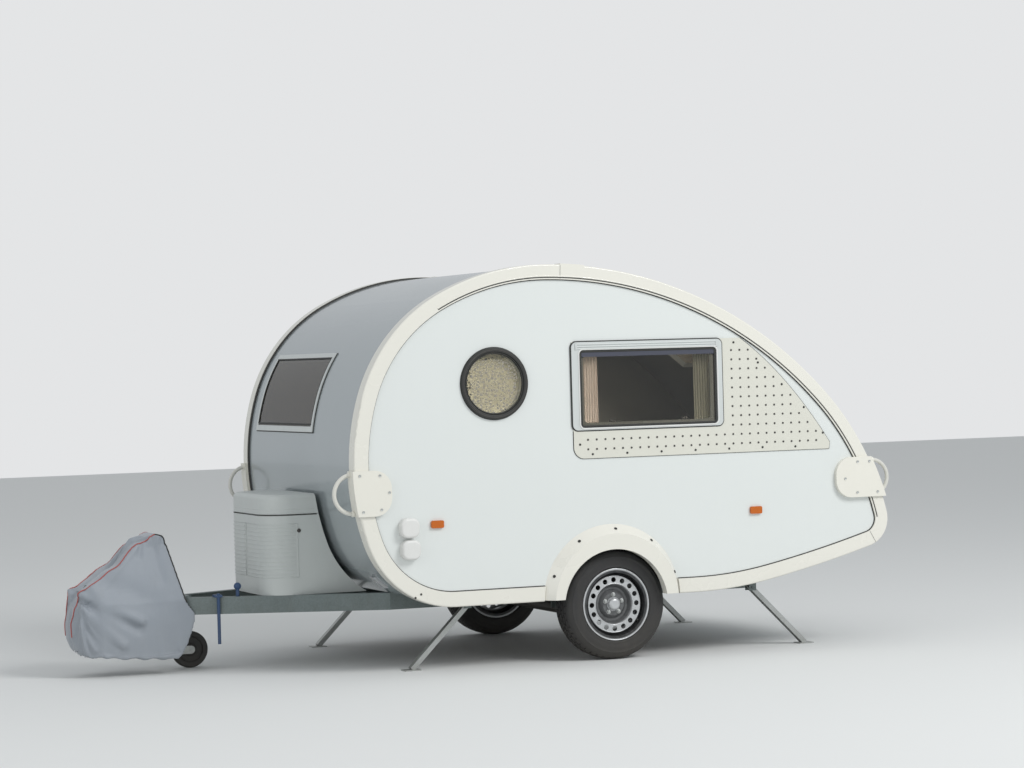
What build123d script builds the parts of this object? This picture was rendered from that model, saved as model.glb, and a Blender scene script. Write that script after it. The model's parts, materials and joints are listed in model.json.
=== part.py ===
"""Small teardrop travel caravan, parked on its wheels, jockey wheel and corner steadies.

Millimetres. While modelling, x is forwards from the wheel axis, y is to the left and z is up from
the ground. On export everything moves so that the origin is the bottom centre of the whole part.
"""
from build123d import *
from math import atan2, cos, degrees, pi, radians, sin, sqrt, tan
import os

# Body outline: tangent arcs from the crown of the roof down to the sill, seen from the left side
CROWN_X = 381
CROWN_Z = 2141
SILL_Z = 340
# radius, turn in degrees; one more arc closes each chain on the sill
FRONT_ARCS = [(1320, 28.4), (880, 44.2), (1255, 36.7)]
REAR_ARCS = [(2300, 47.1), (1530, 29.0), (160, 87.6), (7300, 5.2)]

# Body walls
WALL_T = 30
WALL_OUTER_Y = 968
WALL_INNER_Y = WALL_OUTER_Y - WALL_T
TRIM_T = 12
TRIM_OUTER_Y = WALL_OUTER_Y + TRIM_T
TRIM_LEG = 80
TRIM_WRAP_Y = 900
TRIM_EDGE_R = 8
TRIM_CAP_X = (150, 290)
TRIM_CAP_PROUD = 5
SHELL_T = 30
SEAM_X = 290
FLOOR_BOTTOM_Z = 402
FLOOR_T = 40
FLOOR_TOP_Z = FLOOR_BOTTOM_Z + FLOOR_T
FLOOR_REAR_X = -1000

# Wheels and axle
TYRE_R = 298
TYRE_W = 185
TYRE_OUTER_Y = 955
AXLE_Z = TYRE_R
RIM_R = 195
BEAD_R = 178
BEAD_HALF_W = 75
BEAD_GAP = 0.3
FLANGE_HALF_W = 84
HOLE_COUNT = 16
HOLE_RING_R = 132
HOLE_R = 14
DRUM_R = 105
DRUM_W = 62
STUB_R = 17.5
HUB_CAP_R = 34
HUB_CAP_Y = 72
STUB_GAP = 0.05
AXLE_TUBE_R = 38
AXLE_TUBE_X = 150
AXLE_TUBE_Z = 268
ARM_T = 22
ARM_INNER_Y = 728
ARM_R = 34

# Wheel wells and arch mouldings
WELL_GAP = 16
WELL_SHIFT = 35
WELL_BOX_T = 8
WELL_BOX_INNER_Y = 722
ARCH_OPENING_R = 304
ARCH_OPENING_X = 28
ARCH_PROUD = 52
ARCH_T = 5
ARCH_BOTTOM_Z = 345
# x, z, radius of the moulding's outline at the wall and at its face
ARCH_BASE = (31, 336, 400)
ARCH_FACE = (21, 324, 362)

# Side windows
WINDOW_X = (-660, 238)
WINDOW_Z = (1246, 1720)
WINDOW_R = 30
PANE_X = (-627, 192)
PANE_Z = (1259, 1676)
PANE_R = 22
PANE_T = 6
PANE_LAP = 26
GLAZING_GAP = 0.4

# Portholes, one in the left wall and one in the middle of the door
PORTHOLE_X = 685
PORTHOLE_Z = 1512
PORTHOLE_R = 191
PORTHOLE_GLASS_R = 166
PORTHOLE_LAP = 10
PORTHOLE_PROUD = 16

# Side panels with rows of dimples
PANEL_T = 6
PANEL_FRONT_X = 234
PANEL_BOTTOM_Z = 1094
PANEL_CORNER_R = 60
PANEL_TOP_PT = (-674, 1722)
PANEL_MID_PT = (-985, 1479)
PANEL_TAIL_PT = (-1290, 1130)

# Front window, set to the right of the centre
FRONT_WINDOW_Y = (-760, 250)
FRONT_WINDOW_Z = (1272, 1700)
FRONT_FRAME_W = 30

# Rear window on the sloping back
REAR_WINDOW_TURN = 36
REAR_WINDOW_L = 430
REAR_WINDOW_HALF_Y = 430
BENT_PANE_T = 5
BENT_FRAME_T = 9
BENT_PANE_LAP = 18

# Corner plates and grab handles
PLATE_T = 14
PLATE_WRAP_T = 12
PLATE_WRAP_Y = 905
FRONT_PLATE_X = (1286, 1560)
FRONT_PLATE_Z = (838, 1077)
REAR_PLATE_X = (-1700, -1345)
REAR_PLATE_Z = (816, 1041)
PLATE_R = 95
HANDLE_TUBE_R = 11
HANDLE_Y = 934
# x, z and radius of each handle's centre line, a round arc that stands out of its plate
HANDLE_ARCS = [(1482, 956, 103), (-1600, 922, 98)]

# Small fittings on the walls
CAP_SIZE = 104
CAP_R = 38
CAP_PROUD = 48
CAP_CENTRES = [(1195, 769), (1190, 654)]
MARKER_L = 70
MARKER_H = 40
MARKER_PROUD = 14
MARKER_CENTRES = [(1031, 781), (-847, 772)]
REFLECTOR_R = 30
REFLECTOR_Y = 680
REFLECTOR_T = 12
REFLECTOR_Z = 470

# Rear lamps and plate holder
LAMP_Z = (655, 800)
LAMP_Y = (690, 860)
LAMP_PROUD = 22
PLATE_HOLDER_Z = (690, 820)
PLATE_HOLDER_HALF_Y = 270
PLATE_HOLDER_PROUD = 4

# Roof hatch
HATCH_TURN = 11
HATCH_SIZE = 400
HATCH_FRAME_W = 32
HATCH_FRAME_T = 8
HATCH_LID_RISE = 30
HATCH_LID_T = 5
HATCH_HINGE_R = 5
HATCH_PIN_R = 2.5
HATCH_EAR_L = 40
HATCH_SEAL = 1

# Entrance door in the right wall
DOOR_X = (442, 982)
DOOR_MID_X = (DOOR_X[0] + DOOR_X[1]) / 2
DOOR_Z = (455, 1830)
DOOR_TOP_R = 120
DOOR_BOTTOM_R = 40
DOOR_GAP = 5
DOOR_HINGE_OUT = 8
DOOR_HINGE_R = 7
DOOR_HINGE_PIN_R = 3.5
DOOR_HINGE_ZS = [700, 1560]
DOOR_HINGE_H = 90
LATCH_Z = 1060
LATCH_L = 130
LATCH_H = 70
LATCH_PROUD = 22

# Gas locker on the drawbar
LOCKER_HALF_Y = 350
LOCKER_FRONT_X = 1782
LOCKER_BODY_GAP = 18
LOCKER_SEAM_Z = 835
LOCKER_TOP_Z = 944
LOCKER_CORNER_R = 150
LOCKER_WALL = 5
LOCKER_HINGE_R = 5
LOCKER_PIN_R = 2.5
LOCKER_HINGE_YS = [-220, 0, 220]
LOCKER_HINGE_L = 60
LOCKER_HINGE_GAP = 1
LOCKER_STRAP_T = 3
LOCKER_STRAP_H = 40
LOCKER_LID_R = 26
LOCKER_LID_GAP = 2

# Chassis
BEAM_TOP_Z = 402
BEAM_H = 92
BEAM_W = 45
BEAM_T = 4
BEAM_TIP = (2232, 46)
BEAM_KINK = (1150, 520)
BEAM_REAR_X = -985
CROSS_X = 1080
CROSS_W = 50
CROSS_H = 40
CROSS_REACH_Y = 815

# Overrun unit and coupling
TIP_PLATE_T = 6
TIP_PLATE_X = (2128, 2238)
HOUSING_X = (2150, 2410)
HOUSING_HALF_Y = 42
HOUSING_BOTTOM_Z = 326
DRAW_TUBE_R = 30
DRAW_TUBE_Z = 368
BALL_X = 2690
BALL_Z = 398
SOCKET_R = 25.3
SOCKET_DEPTH = 26
HEAD_R = 38
HEAD_REAR_X = 2500
HEAD_TOP_Z = 448
NECK_DROP = 14
NECK_REAR_L = 70
LEVER_FOOT = (2290, 440)
LEVER_TOP = (2318, 740.8)
LEVER_R = 11

# Fabric hood over the coupling
HOOD_T = 6
# x, z round the hood seen from the left side, from the bottom rear upwards
HOOD_SIDE = [(2231, 77), (2161, 160), (2112, 290), (2118, 330), (2160, 383), (2200, 548), (2240, 712),
             (2267, 741), (2311, 754), (2362, 733), (2417, 721), (2457, 696), (2537, 609), (2603, 580),
             (2743, 478), (2784, 386), (2806, 300), (2803, 220), (2779, 177), (2740, 140), (2672, 117), (2562, 99)]
HOOD_BOTTOM_HALF_Y = 170
HOOD_SHOULDER_Z = 400
HOOD_TOP_Y = (-152, 50)
HOOD_NOSE_HALF_Y = 70
HOOD_NOSE_TAPER = 170
HOOD_BACK_OPENING = (2400, 425)
HOOD_HEM = (2750, 145)
HOOD_SWING_GAP = 8

# Jockey wheel, clamped outside the right beam
JOCKEY_X = 2235
JOCKEY_Y = -125
JOCKEY_TRAIL = 150
JOCKEY_WHEEL_R = 100
JOCKEY_WHEEL_W = 44
JOCKEY_OUTER_R = 24
JOCKEY_INNER_R = 20.5
JOCKEY_SLIDE_GAP = 0.1
JOCKEY_TUBE_Z = (285, 560)
JOCKEY_TUBE_CAP = 15
JOCKEY_INNER_TOP_Z = 435
JOCKEY_CROWN_Z = (142, 154)
JOCKEY_SPIGOT_R = 10
JOCKEY_PIN_R = 6
JOCKEY_PIN_GAP = 0.1
JOCKEY_SIDE_GAP = 5
JOCKEY_ARM_T = 5
JOCKEY_ARM_H = 44
JOCKEY_CLAMP_Z = (318, 394)
JOCKEY_CRANK_L = 95

# Corner steadies
STEADY_PIVOT_Z = 330
STEADY_PIVOT_XS = {"front": 805, "rear": -900}
STEADY_Y = 780
STEADY_ANGLE = 45
STEADY_W = 40
STEADY_D = 26
STEADY_T = 3
STEADY_PAD_L = 90
STEADY_PAD_W = 74
STEADY_PAD_T = 6
STEADY_PIN_R = 6
STEADY_PIN_GAP = 0.1
STEADY_EAR_T = 4
STEADY_EAR_GAP = 1

# Rod and plug holder on the left beam
ROD_X = 2010
ROD_R = 9
ROD_LOW_Z = 150
KNOB_X = 1905
KNOB_R = 20

# Cabin furniture and soft goods
BED_X = (-1330, -352)
BED_TOP_Z = 720
BOARD_T = 15
MATTRESS_T = 100
MATTRESS_EDGE = 12
GALLEY_X = (372, 1010)
GALLEY_Y = 500
GALLEY_TOP_Z = 1240
CURTAIN_T = 12
CURTAIN_GAP = 0.3
CURTAIN_WIDTHS = [(160, 70), (-505, -600)]
NET_T = 3


def arc_chain(arcs, facing, inset):
    """Tangent arcs from the crown to the sill; facing is 1 forwards and -1 rearwards."""
    x, z, turned = 0.0, CROWN_Z - inset, 0.0
    closing_turn = 180 - sum(turn for _, turn in arcs)
    edges = []
    for radius, turn in arcs + [(None, closing_turn)]:
        if radius is None:
            r = (z - SILL_Z - inset) / (1 + cos(turned))
        else:
            r = radius - inset
        corners = []
        for share in (0, 0.5, 1):
            angle = turned + radians(turn) * share
            px = x + r * (sin(angle) - sin(turned))
            pz = z - r * (cos(turned) - cos(angle))
            corners.append((CROWN_X + facing * px, pz))
        edges.append(ThreePointArc(*corners))
        turned += radians(turn)
        x = facing * (corners[2][0] - CROWN_X)
        z = corners[2][1]
    return edges, corners[2]


def outline(inset):
    """Face of the body's side outline, moved inwards by inset (outwards if negative)."""
    front, front_end = arc_chain(FRONT_ARCS, 1, inset)
    rear, rear_end = arc_chain(REAR_ARCS, -1, inset)
    return make_face(front + rear + [Line(front_end, rear_end)])


def surface_point(turn, inset):
    """Point on the rear chain's first arc after a turn in degrees from the crown."""
    radius = REAR_ARCS[0][0]
    x = CROWN_X - (radius - inset) * sin(radians(turn))
    z = CROWN_Z - radius + (radius - inset) * cos(radians(turn))
    return x, z


def rect(x_range, z_range):
    """Rectangle face from its limits."""
    width = x_range[1] - x_range[0]
    height = z_range[1] - z_range[0]
    return Pos(x_range[0] + width / 2, z_range[0] + height / 2) * Rectangle(width, height)


def round_rect(x_range, z_range, radius):
    """Rectangle face with round corners, from its limits."""
    width = x_range[1] - x_range[0]
    height = z_range[1] - z_range[0]
    centre = Pos(x_range[0] + width / 2, z_range[0] + height / 2)
    return centre * RectangleRounded(width, height, radius)


def grown(limits, by):
    """Limits moved apart by a distance, or together if it is negative."""
    return limits[0] - by, limits[1] + by


def slab(face, y_low, y_high):
    """Side-view face (x, z) as a solid between two widths."""
    return Pos(0, y_high, 0) * Rot(90, 0, 0) * extrude(face, amount=y_high - y_low)


def block(x_range, y_range, z_range):
    """Box solid from its limits."""
    return slab(rect(x_range, z_range), y_range[0], y_range[1])


def tube_between(start, end, radius):
    """Round bar from one point to another."""
    line = Line(start, end)
    return sweep(Plane(origin=start, z_dir=line % 0) * Circle(radius), path=line)


def y_rod(x, z, radius, y_low, y_high):
    """Round bar across the vehicle."""
    return slab(Pos(x, z) * Circle(radius), y_low, y_high)


def mirrored(shape):
    """The same shape on the other side of the vehicle."""
    return mirror(shape, about=Plane.XZ)


def both(shape):
    """A left-hand shape and its right-hand twin."""
    return shape + mirrored(shape)


def band(outer, inner, clip):
    """Part of the wrap between two insets, inside a clip face."""
    return (outline(outer) - outline(inner)) & clip


def side_plan(z_low, z_high, plan):
    """Plan-view face (x, y) as an upright solid."""
    return Pos(0, 0, z_low) * extrude(plan, amount=z_high - z_low)


# Body shell
def well_face(extra):
    """Side view of the wheel well; it is wider to the front, as the arch moulding is."""
    radius = TYRE_R + WELL_GAP + extra
    round_parts = Pos(0, AXLE_Z) * Circle(radius) + Pos(WELL_SHIFT, AXLE_Z) * Circle(radius)
    top = rect((0, WELL_SHIFT), (AXLE_Z, AXLE_Z + radius))
    legs = rect((-radius, WELL_SHIFT + radius), (0, AXLE_Z))
    return round_parts + top + legs


def pane_hole():
    """Hole in the wall behind the side window's pane."""
    return round_rect(grown(PANE_X, -PANE_LAP), grown(PANE_Z, -PANE_LAP), PANE_R)


def door_face(gap):
    """Door leaf seen from the side, grown by a gap."""
    face = rect(grown(DOOR_X, gap), grown(DOOR_Z, gap))
    top = face.vertices().group_by(Axis.Y)[-1]
    face = fillet(top, DOOR_TOP_R + gap)
    low = face.vertices().group_by(Axis.Y)[0]
    return fillet(low, DOOR_BOTTOM_R + gap)


def porthole_hole(x):
    """Hole in a wall or door behind a porthole's glass."""
    return Pos(x, PORTHOLE_Z) * Circle(PORTHOLE_GLASS_R - PORTHOLE_LAP)


def side_walls():
    """Left wall with window and porthole, right wall with window and door opening."""
    face = outline(TRIM_T) - well_face(0) - pane_hole()
    left = slab(face - porthole_hole(PORTHOLE_X), WALL_INNER_Y, WALL_OUTER_Y)
    right = slab(face - door_face(DOOR_GAP), -WALL_OUTER_Y, -WALL_INNER_Y)
    return left, right


def front_window_faces(grow):
    """Side-view clip and widths of the front window, grown by a distance."""
    clip = rect((CROWN_X, CROWN_X + 2000), grown(FRONT_WINDOW_Z, grow))
    return clip, grown(FRONT_WINDOW_Y, grow)


def rear_window_clip(grow):
    """Side-view clip across the sloping back at the rear window."""
    x, z = surface_point(REAR_WINDOW_TURN, 0)
    return Pos(x, z) * Rot(0, 0, REAR_WINDOW_TURN) * Rectangle(REAR_WINDOW_L + 2 * grow, 200)


def hatch_clip(grow):
    """Side-view clip across the roof at the hatch."""
    x, z = surface_point(HATCH_TURN, 0)
    return Pos(x, z) * Rot(0, 0, HATCH_TURN) * Rectangle(HATCH_SIZE + 2 * grow, 200)


def shells():
    """Curved front shell and roof-to-tail shell, hollow, with their window holes."""
    ahead = rect((SEAM_X, CROWN_X + 2000), (FLOOR_BOTTOM_Z, CROWN_Z))
    front = slab(band(TRIM_T, TRIM_T + SHELL_T, ahead), -WALL_INNER_Y, WALL_INNER_Y)
    hole = -FRONT_FRAME_W - BENT_PANE_LAP
    clip, widths = front_window_faces(hole)
    front -= slab(clip, *widths)
    behind = rect((CROWN_X - 3000, SEAM_X), (FLOOR_TOP_Z, CROWN_Z))
    tail = rect((CROWN_X - 3000, FLOOR_REAR_X), (0, FLOOR_TOP_Z))
    rear = slab(band(TRIM_T, TRIM_T + SHELL_T, behind + tail), -WALL_INNER_Y, WALL_INNER_Y)
    rear -= slab(rear_window_clip(hole), -REAR_WINDOW_HALF_Y - hole, REAR_WINDOW_HALF_Y + hole)
    hatch_hole = HATCH_SIZE / 2 - HATCH_FRAME_W
    rear -= slab(hatch_clip(-HATCH_FRAME_W), -hatch_hole, hatch_hole)
    return front, rear


def floor_panel():
    """Floor between the walls, open at the wheel wells."""
    level = rect((FLOOR_REAR_X, CROWN_X + 2000), (FLOOR_BOTTOM_Z, FLOOR_TOP_Z))
    ahead = rect((CROWN_X, CROWN_X + 2000), (0, CROWN_Z))
    face = (outline(TRIM_T) & level) - band(0, TRIM_T + SHELL_T, ahead)
    panel = slab(face, -WALL_INNER_Y, WALL_INNER_Y)
    well = slab(well_face(WELL_BOX_T), WELL_BOX_INNER_Y, WALL_INNER_Y)
    return panel - both(well)


def wheel_boxes():
    """Inner wheel housings that stand in the floor."""
    above = rect((-1000, 1000), (FLOOR_BOTTOM_Z, CROWN_Z))
    outer = well_face(WELL_BOX_T) & above
    side = slab(outer, WELL_BOX_INNER_Y, WALL_INNER_Y)
    hollow = slab(well_face(0), WELL_BOX_INNER_Y + WELL_BOX_T, WALL_INNER_Y)
    return both(side - hollow)


def edge_trims():
    """Cream edge mouldings that lap the walls and the wrap on both sides."""
    side = slab(outline(0) - outline(TRIM_LEG), WALL_OUTER_Y, TRIM_OUTER_Y)
    wrap = slab(outline(0) - outline(TRIM_T), TRIM_WRAP_Y, WALL_OUTER_Y)
    trim = side + wrap
    outer = trim.edges().filter_by_position(Axis.Y, TRIM_OUTER_Y - 0.01, TRIM_OUTER_Y + 0.01)
    trim = fillet(outside_edges(outer), TRIM_EDGE_R)
    over = rect(TRIM_CAP_X, (CROWN_Z - TRIM_LEG, CROWN_Z + TRIM_CAP_PROUD))
    trim += slab(band(-TRIM_CAP_PROUD, TRIM_EDGE_R, over), TRIM_WRAP_Y, TRIM_OUTER_Y)
    x, z, r = ARCH_BASE
    gap = Pos(x, z) * Circle(r) + well_face(0)
    return both(trim - slab(gap, TRIM_WRAP_Y, TRIM_OUTER_Y))


def outside_edges(edges):
    """Of the edges of a ring seen from the side, those on its outer loop."""
    ring = outline(TRIM_LEG / 2)
    kept = []
    for edge in edges:
        p = edge @ 0.5
        if not ring.is_inside(Vector(p.X, p.Z, 0)):
            kept.append(edge)
    return kept


def arch_outline(x, z, r, z_low):
    """Round arch cut off level at its foot, as one face."""
    half = sqrt(r * r - (z_low - z) ** 2)
    top = ThreePointArc((x - half, z_low), (x, z + r), (x + half, z_low))
    return make_face([top, Line((x + half, z_low), (x - half, z_low))])


def arch_body(shrink, proud):
    """Solid arch from the wall out to its face, made smaller by shrink."""
    low = ARCH_BOTTOM_Z - shrink
    base = arch_outline(ARCH_BASE[0], ARCH_BASE[1], ARCH_BASE[2] - shrink, low)
    face = arch_outline(ARCH_FACE[0], ARCH_FACE[1], ARCH_FACE[2] - shrink, low)
    solid = loft([base, Pos(0, 0, -proud) * face], ruled=True)
    return Pos(0, WALL_OUTER_Y, 0) * Rot(90, 0, 0) * solid


def wheel_arches():
    """Thin mouldings round the wheel openings."""
    shell = arch_body(0, ARCH_PROUD) - arch_body(ARCH_T, ARCH_PROUD - ARCH_T)
    far_y = WALL_OUTER_Y + ARCH_PROUD
    centre = Pos(ARCH_OPENING_X, AXLE_Z)
    lip = centre * (Circle(ARCH_OPENING_R + ARCH_T) - Circle(ARCH_OPENING_R))
    lip -= rect((-1000, 1000), (-1000, ARCH_BOTTOM_Z))
    opening = centre * Circle(ARCH_OPENING_R)
    opening += rect((ARCH_OPENING_X - ARCH_OPENING_R, ARCH_OPENING_X + ARCH_OPENING_R), (0, AXLE_Z))
    arch = shell + slab(lip, WALL_OUTER_Y, far_y)
    return both(arch - slab(opening, WALL_OUTER_Y - 1, far_y + 1))


# Windows
def side_window_frames():
    """Raised frames round the side windows."""
    outer = round_rect(WINDOW_X, WINDOW_Z, WINDOW_R)
    inner = round_rect(grown(PANE_X, GLAZING_GAP), grown(PANE_Z, GLAZING_GAP), PANE_R)
    return both(slab(outer - inner, WALL_OUTER_Y, TRIM_OUTER_Y))


def side_window_panes():
    """Side window panes, lapped on the wall round its hole."""
    return both(slab(round_rect(PANE_X, PANE_Z, PANE_R), WALL_OUTER_Y, WALL_OUTER_Y + PANE_T))


def dimple_panels():
    """Panels below and behind the side windows, cut to the curve of the roof."""
    start = (PANEL_FRONT_X, PANEL_TOP_PT[1])
    curve = ThreePointArc(PANEL_TAIL_PT, PANEL_MID_PT, PANEL_TOP_PT)
    sides = Polyline(PANEL_TOP_PT, start, (PANEL_FRONT_X, PANEL_BOTTOM_Z),
                     (PANEL_TAIL_PT[0] + 6, PANEL_BOTTOM_Z), PANEL_TAIL_PT)
    face = make_face([curve, sides])
    corner = [v for v in face.vertices() if v.X > 0 and v.Y < PANEL_BOTTOM_Z + 1]
    face = fillet(corner, PANEL_CORNER_R)
    face -= round_rect(grown(WINDOW_X, GLAZING_GAP), grown(WINDOW_Z, GLAZING_GAP), WINDOW_R)
    panel = slab(face, WALL_OUTER_Y, WALL_OUTER_Y + PANEL_T)
    return both(panel)


def porthole_rim(x, y_face, outwards):
    """Rubber ring with a rounded outside, on a wall or door face."""
    ring = Pos(x, PORTHOLE_Z) * (Circle(PORTHOLE_R) - Circle(PORTHOLE_GLASS_R + GLAZING_GAP))
    y_far = y_face + outwards * PORTHOLE_PROUD
    rim = slab(ring, min(y_face, y_far), max(y_face, y_far))
    edges = rim.edges().filter_by_position(Axis.Y, y_far - 0.01, y_far + 0.01)
    return fillet(edges, PORTHOLE_PROUD * 0.4)


def porthole_glass(x, y_face, outwards):
    """Round pane inside the rubber ring."""
    y_far = y_face + outwards * PANE_T
    disc = Pos(x, PORTHOLE_Z) * Circle(PORTHOLE_GLASS_R)
    return slab(disc, min(y_face, y_far), max(y_face, y_far))


def front_window():
    """Bent frame and pane of the front window."""
    clip, widths = front_window_faces(0)
    frame = slab(band(TRIM_T - BENT_FRAME_T, TRIM_T, clip), *widths)
    clip, widths = front_window_faces(-FRONT_FRAME_W)
    frame -= slab(clip, *widths)
    clip, widths = front_window_faces(-FRONT_FRAME_W - GLAZING_GAP)
    pane = slab(band(TRIM_T - BENT_PANE_T, TRIM_T, clip), *widths)
    return frame, pane


def rear_window():
    """Bent frame and pane of the rear window."""
    half = REAR_WINDOW_HALF_Y
    frame = slab(band(TRIM_T - BENT_FRAME_T, TRIM_T, rear_window_clip(0)), -half, half)
    frame -= slab(rear_window_clip(-FRONT_FRAME_W), FRONT_FRAME_W - half, half - FRONT_FRAME_W)
    inner = FRONT_FRAME_W + GLAZING_GAP
    pane = slab(band(TRIM_T - BENT_PANE_T, TRIM_T, rear_window_clip(-inner)), inner - half, half - inner)
    return frame, pane


# Fittings on the body
def corner_plates():
    """Four plates that wrap the edge mouldings and carry the grab handles."""
    y_far = TRIM_OUTER_Y + PLATE_T
    inside = slab(outline(TRIM_T), 0, WALL_OUTER_Y)
    inside += slab(outline(0) - outline(TRIM_LEG), 0, TRIM_OUTER_Y)
    plates = []
    for x_range, z_range, end in ((FRONT_PLATE_X, FRONT_PLATE_Z, 0), (REAR_PLATE_X, REAR_PLATE_Z, -1)):
        face = rect(x_range, z_range)
        face = fillet(face.vertices().group_by(Axis.X)[end], PLATE_R)
        plate = slab(face & outline(-PLATE_WRAP_T), PLATE_WRAP_Y, y_far) - inside
        plates.append(plate)
    return both(plates[0] + plates[1])


def grab_handles():
    """Four handles of round bar, bent to an arc, on the front and the tail."""
    clear = slab(outline(-PLATE_WRAP_T), 0, TRIM_OUTER_Y)
    handles = []
    for x, z, radius in HANDLE_ARCS:
        ring = Pos(x, HANDLE_Y, z) * Rot(90, 0, 0) * Torus(radius, HANDLE_TUBE_R)
        handles.append(ring - clear)
    return both(handles[0] + handles[1])


def flue_caps():
    """Two white vent caps low on the left wall."""
    caps = []
    for x, z in CAP_CENTRES:
        face = Pos(x, z) * RectangleRounded(CAP_SIZE, CAP_SIZE, CAP_R)
        cap = slab(face, WALL_OUTER_Y, WALL_OUTER_Y + CAP_PROUD)
        edges = cap.edges().filter_by_position(Axis.Y, WALL_OUTER_Y + CAP_PROUD - 0.01,
                                               WALL_OUTER_Y + CAP_PROUD + 0.01)
        caps.append(fillet(edges, 14))
    return caps[0] + caps[1]


def side_markers():
    """Amber lamps, two on each side."""
    markers = []
    for x, z in MARKER_CENTRES:
        face = Pos(x, z) * RectangleRounded(MARKER_L, MARKER_H, 8)
        markers.append(slab(face, WALL_OUTER_Y, WALL_OUTER_Y + MARKER_PROUD))
    return both(markers[0] + markers[1])


def front_reflectors():
    """Two round white reflectors low on the front shell."""
    clip = rect((CROWN_X, CROWN_X + 2000), grown((REFLECTOR_Z, REFLECTOR_Z), REFLECTOR_R))
    piece = slab(band(TRIM_T - REFLECTOR_T, TRIM_T, clip), REFLECTOR_Y - REFLECTOR_R, REFLECTOR_Y + REFLECTOR_R)
    return both(piece)


def rear_lamps():
    """Two lamp clusters on the tail."""
    clip = rect((CROWN_X - 3000, CROWN_X), LAMP_Z)
    return both(slab(band(TRIM_T - LAMP_PROUD, TRIM_T, clip), *LAMP_Y))


def number_plate_holder():
    """Blank plate holder on the tail."""
    clip = rect((CROWN_X - 3000, CROWN_X), PLATE_HOLDER_Z)
    half = PLATE_HOLDER_HALF_Y
    return slab(band(TRIM_T - PLATE_HOLDER_PROUD, TRIM_T, clip), -half, half)


def knuckles(spans, radius, bore):
    """Hinge knuckles along the z axis, each bored if bore is over zero."""
    parts = []
    for low, high in spans:
        ring = Circle(radius) - Circle(bore) if bore else Circle(radius)
        parts.append(Pos(0, 0, low) * extrude(ring, amount=high - low))
    return parts


def hatch_axis():
    """Hinge axis of the roof hatch, at its front edge above the frame."""
    ahead = (HATCH_SIZE / 2 - HATCH_HINGE_R) / REAR_ARCS[0][0]
    return surface_point(HATCH_TURN - degrees(ahead), TRIM_T - HATCH_FRAME_T - HATCH_HINGE_R - HATCH_SEAL)


def roof_hatch():
    """Hatch frame on the roof and its lid, closed."""
    half = HATCH_SIZE / 2
    r = HATCH_HINGE_R
    frame = slab(band(TRIM_T - HATCH_FRAME_T, TRIM_T, hatch_clip(0)), -half, half)
    frame -= slab(hatch_clip(-HATCH_FRAME_W), HATCH_FRAME_W - half, half - HATCH_FRAME_W)
    x, z = hatch_axis()
    for low, high in ((-half, HATCH_EAR_L - half), (half - HATCH_EAR_L, half)):
        ear = block((x - r, x + r), (low, high), (z - 2 * r - HATCH_SEAL, z))
        frame += y_rod(x, z, r, low, high) + (ear - slab(outline(TRIM_T), -half, half))
    frame += y_rod(x, z, HATCH_PIN_R, -half, half)
    bottom = TRIM_T - HATCH_FRAME_T - HATCH_SEAL
    top = bottom - HATCH_LID_RISE
    lid_y = half - 2 * r
    lid = slab(band(top, bottom, hatch_clip(-3 * r)), -lid_y, lid_y)
    lid -= slab(band(top + HATCH_LID_T, bottom, hatch_clip(-3 * r - HATCH_LID_T)), HATCH_LID_T - lid_y,
                lid_y - HATCH_LID_T)
    arm_y = half - HATCH_EAR_L - r
    lid += y_rod(x, z, r, -arm_y, arm_y) + block((x - 3 * r, x), (-arm_y, arm_y), (z - r, z + r))
    return frame, lid - y_rod(x, z, HATCH_PIN_R + 0.1, -half, half)


def door_axis():
    """Hinge axis of the door, outside the wall at its front edge."""
    return DOOR_X[1] + DOOR_GAP / 2, -WALL_OUTER_Y - DOOR_HINGE_OUT


def entrance_door():
    """Door leaf with its porthole hole and hinge leaves, and the wall's hinge leaves."""
    leaf = slab(door_face(0) - porthole_hole(DOOR_MID_X), -WALL_OUTER_Y, -WALL_INNER_Y)
    x, y = door_axis()
    third = DOOR_HINGE_H / 3
    wall_leaves = []
    for zc in DOOR_HINGE_ZS:
        low = zc - DOOR_HINGE_H / 2
        outer = [(low, low + third - 0.5), (low + 2 * third + 0.5, low + 3 * third)]
        middle = [(low + third, low + 2 * third)]
        for part in knuckles(middle, DOOR_HINGE_R, DOOR_HINGE_PIN_R + 0.1):
            leaf += Pos(x, y, 0) * part
        strap = block((x - 60, x - DOOR_HINGE_PIN_R - 1), (y - 2, y + DOOR_HINGE_OUT), middle[0])
        leaf += strap
        own = Pos(x, y, low) * Cylinder(DOOR_HINGE_PIN_R, DOOR_HINGE_H, align=(Align.CENTER, Align.CENTER, Align.MIN))
        for part, span in zip(knuckles(outer, DOOR_HINGE_R, 0), outer):
            own += Pos(x, y, 0) * part
            own += block((x + DOOR_HINGE_PIN_R + 1, x + 46), (y - 2, y + DOOR_HINGE_OUT), span)
        wall_leaves.append(own)
    return leaf, wall_leaves[0] + wall_leaves[1]


def door_latch():
    """Flush latch case near the door's rear edge."""
    x = DOOR_X[0] + 40
    face = round_rect((x, x + LATCH_L), (LATCH_Z, LATCH_Z + LATCH_H), 16)
    return slab(face, -WALL_OUTER_Y - LATCH_PROUD, -WALL_OUTER_Y)


# Gas locker
def locker_plan(shrink):
    """Locker outline from above, with large round front corners."""
    face = rect((CROWN_X, LOCKER_FRONT_X - shrink), (-LOCKER_HALF_Y + shrink, LOCKER_HALF_Y - shrink))
    return fillet(face.vertices().group_by(Axis.X)[-1], LOCKER_CORNER_R - shrink)


def locker_side(shrink, z_low, z_high):
    """Locker from the side; its back follows the caravan's front."""
    return rect((CROWN_X, CROWN_X + 2000), (z_low, z_high)) - outline(-LOCKER_BODY_GAP - shrink)


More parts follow.
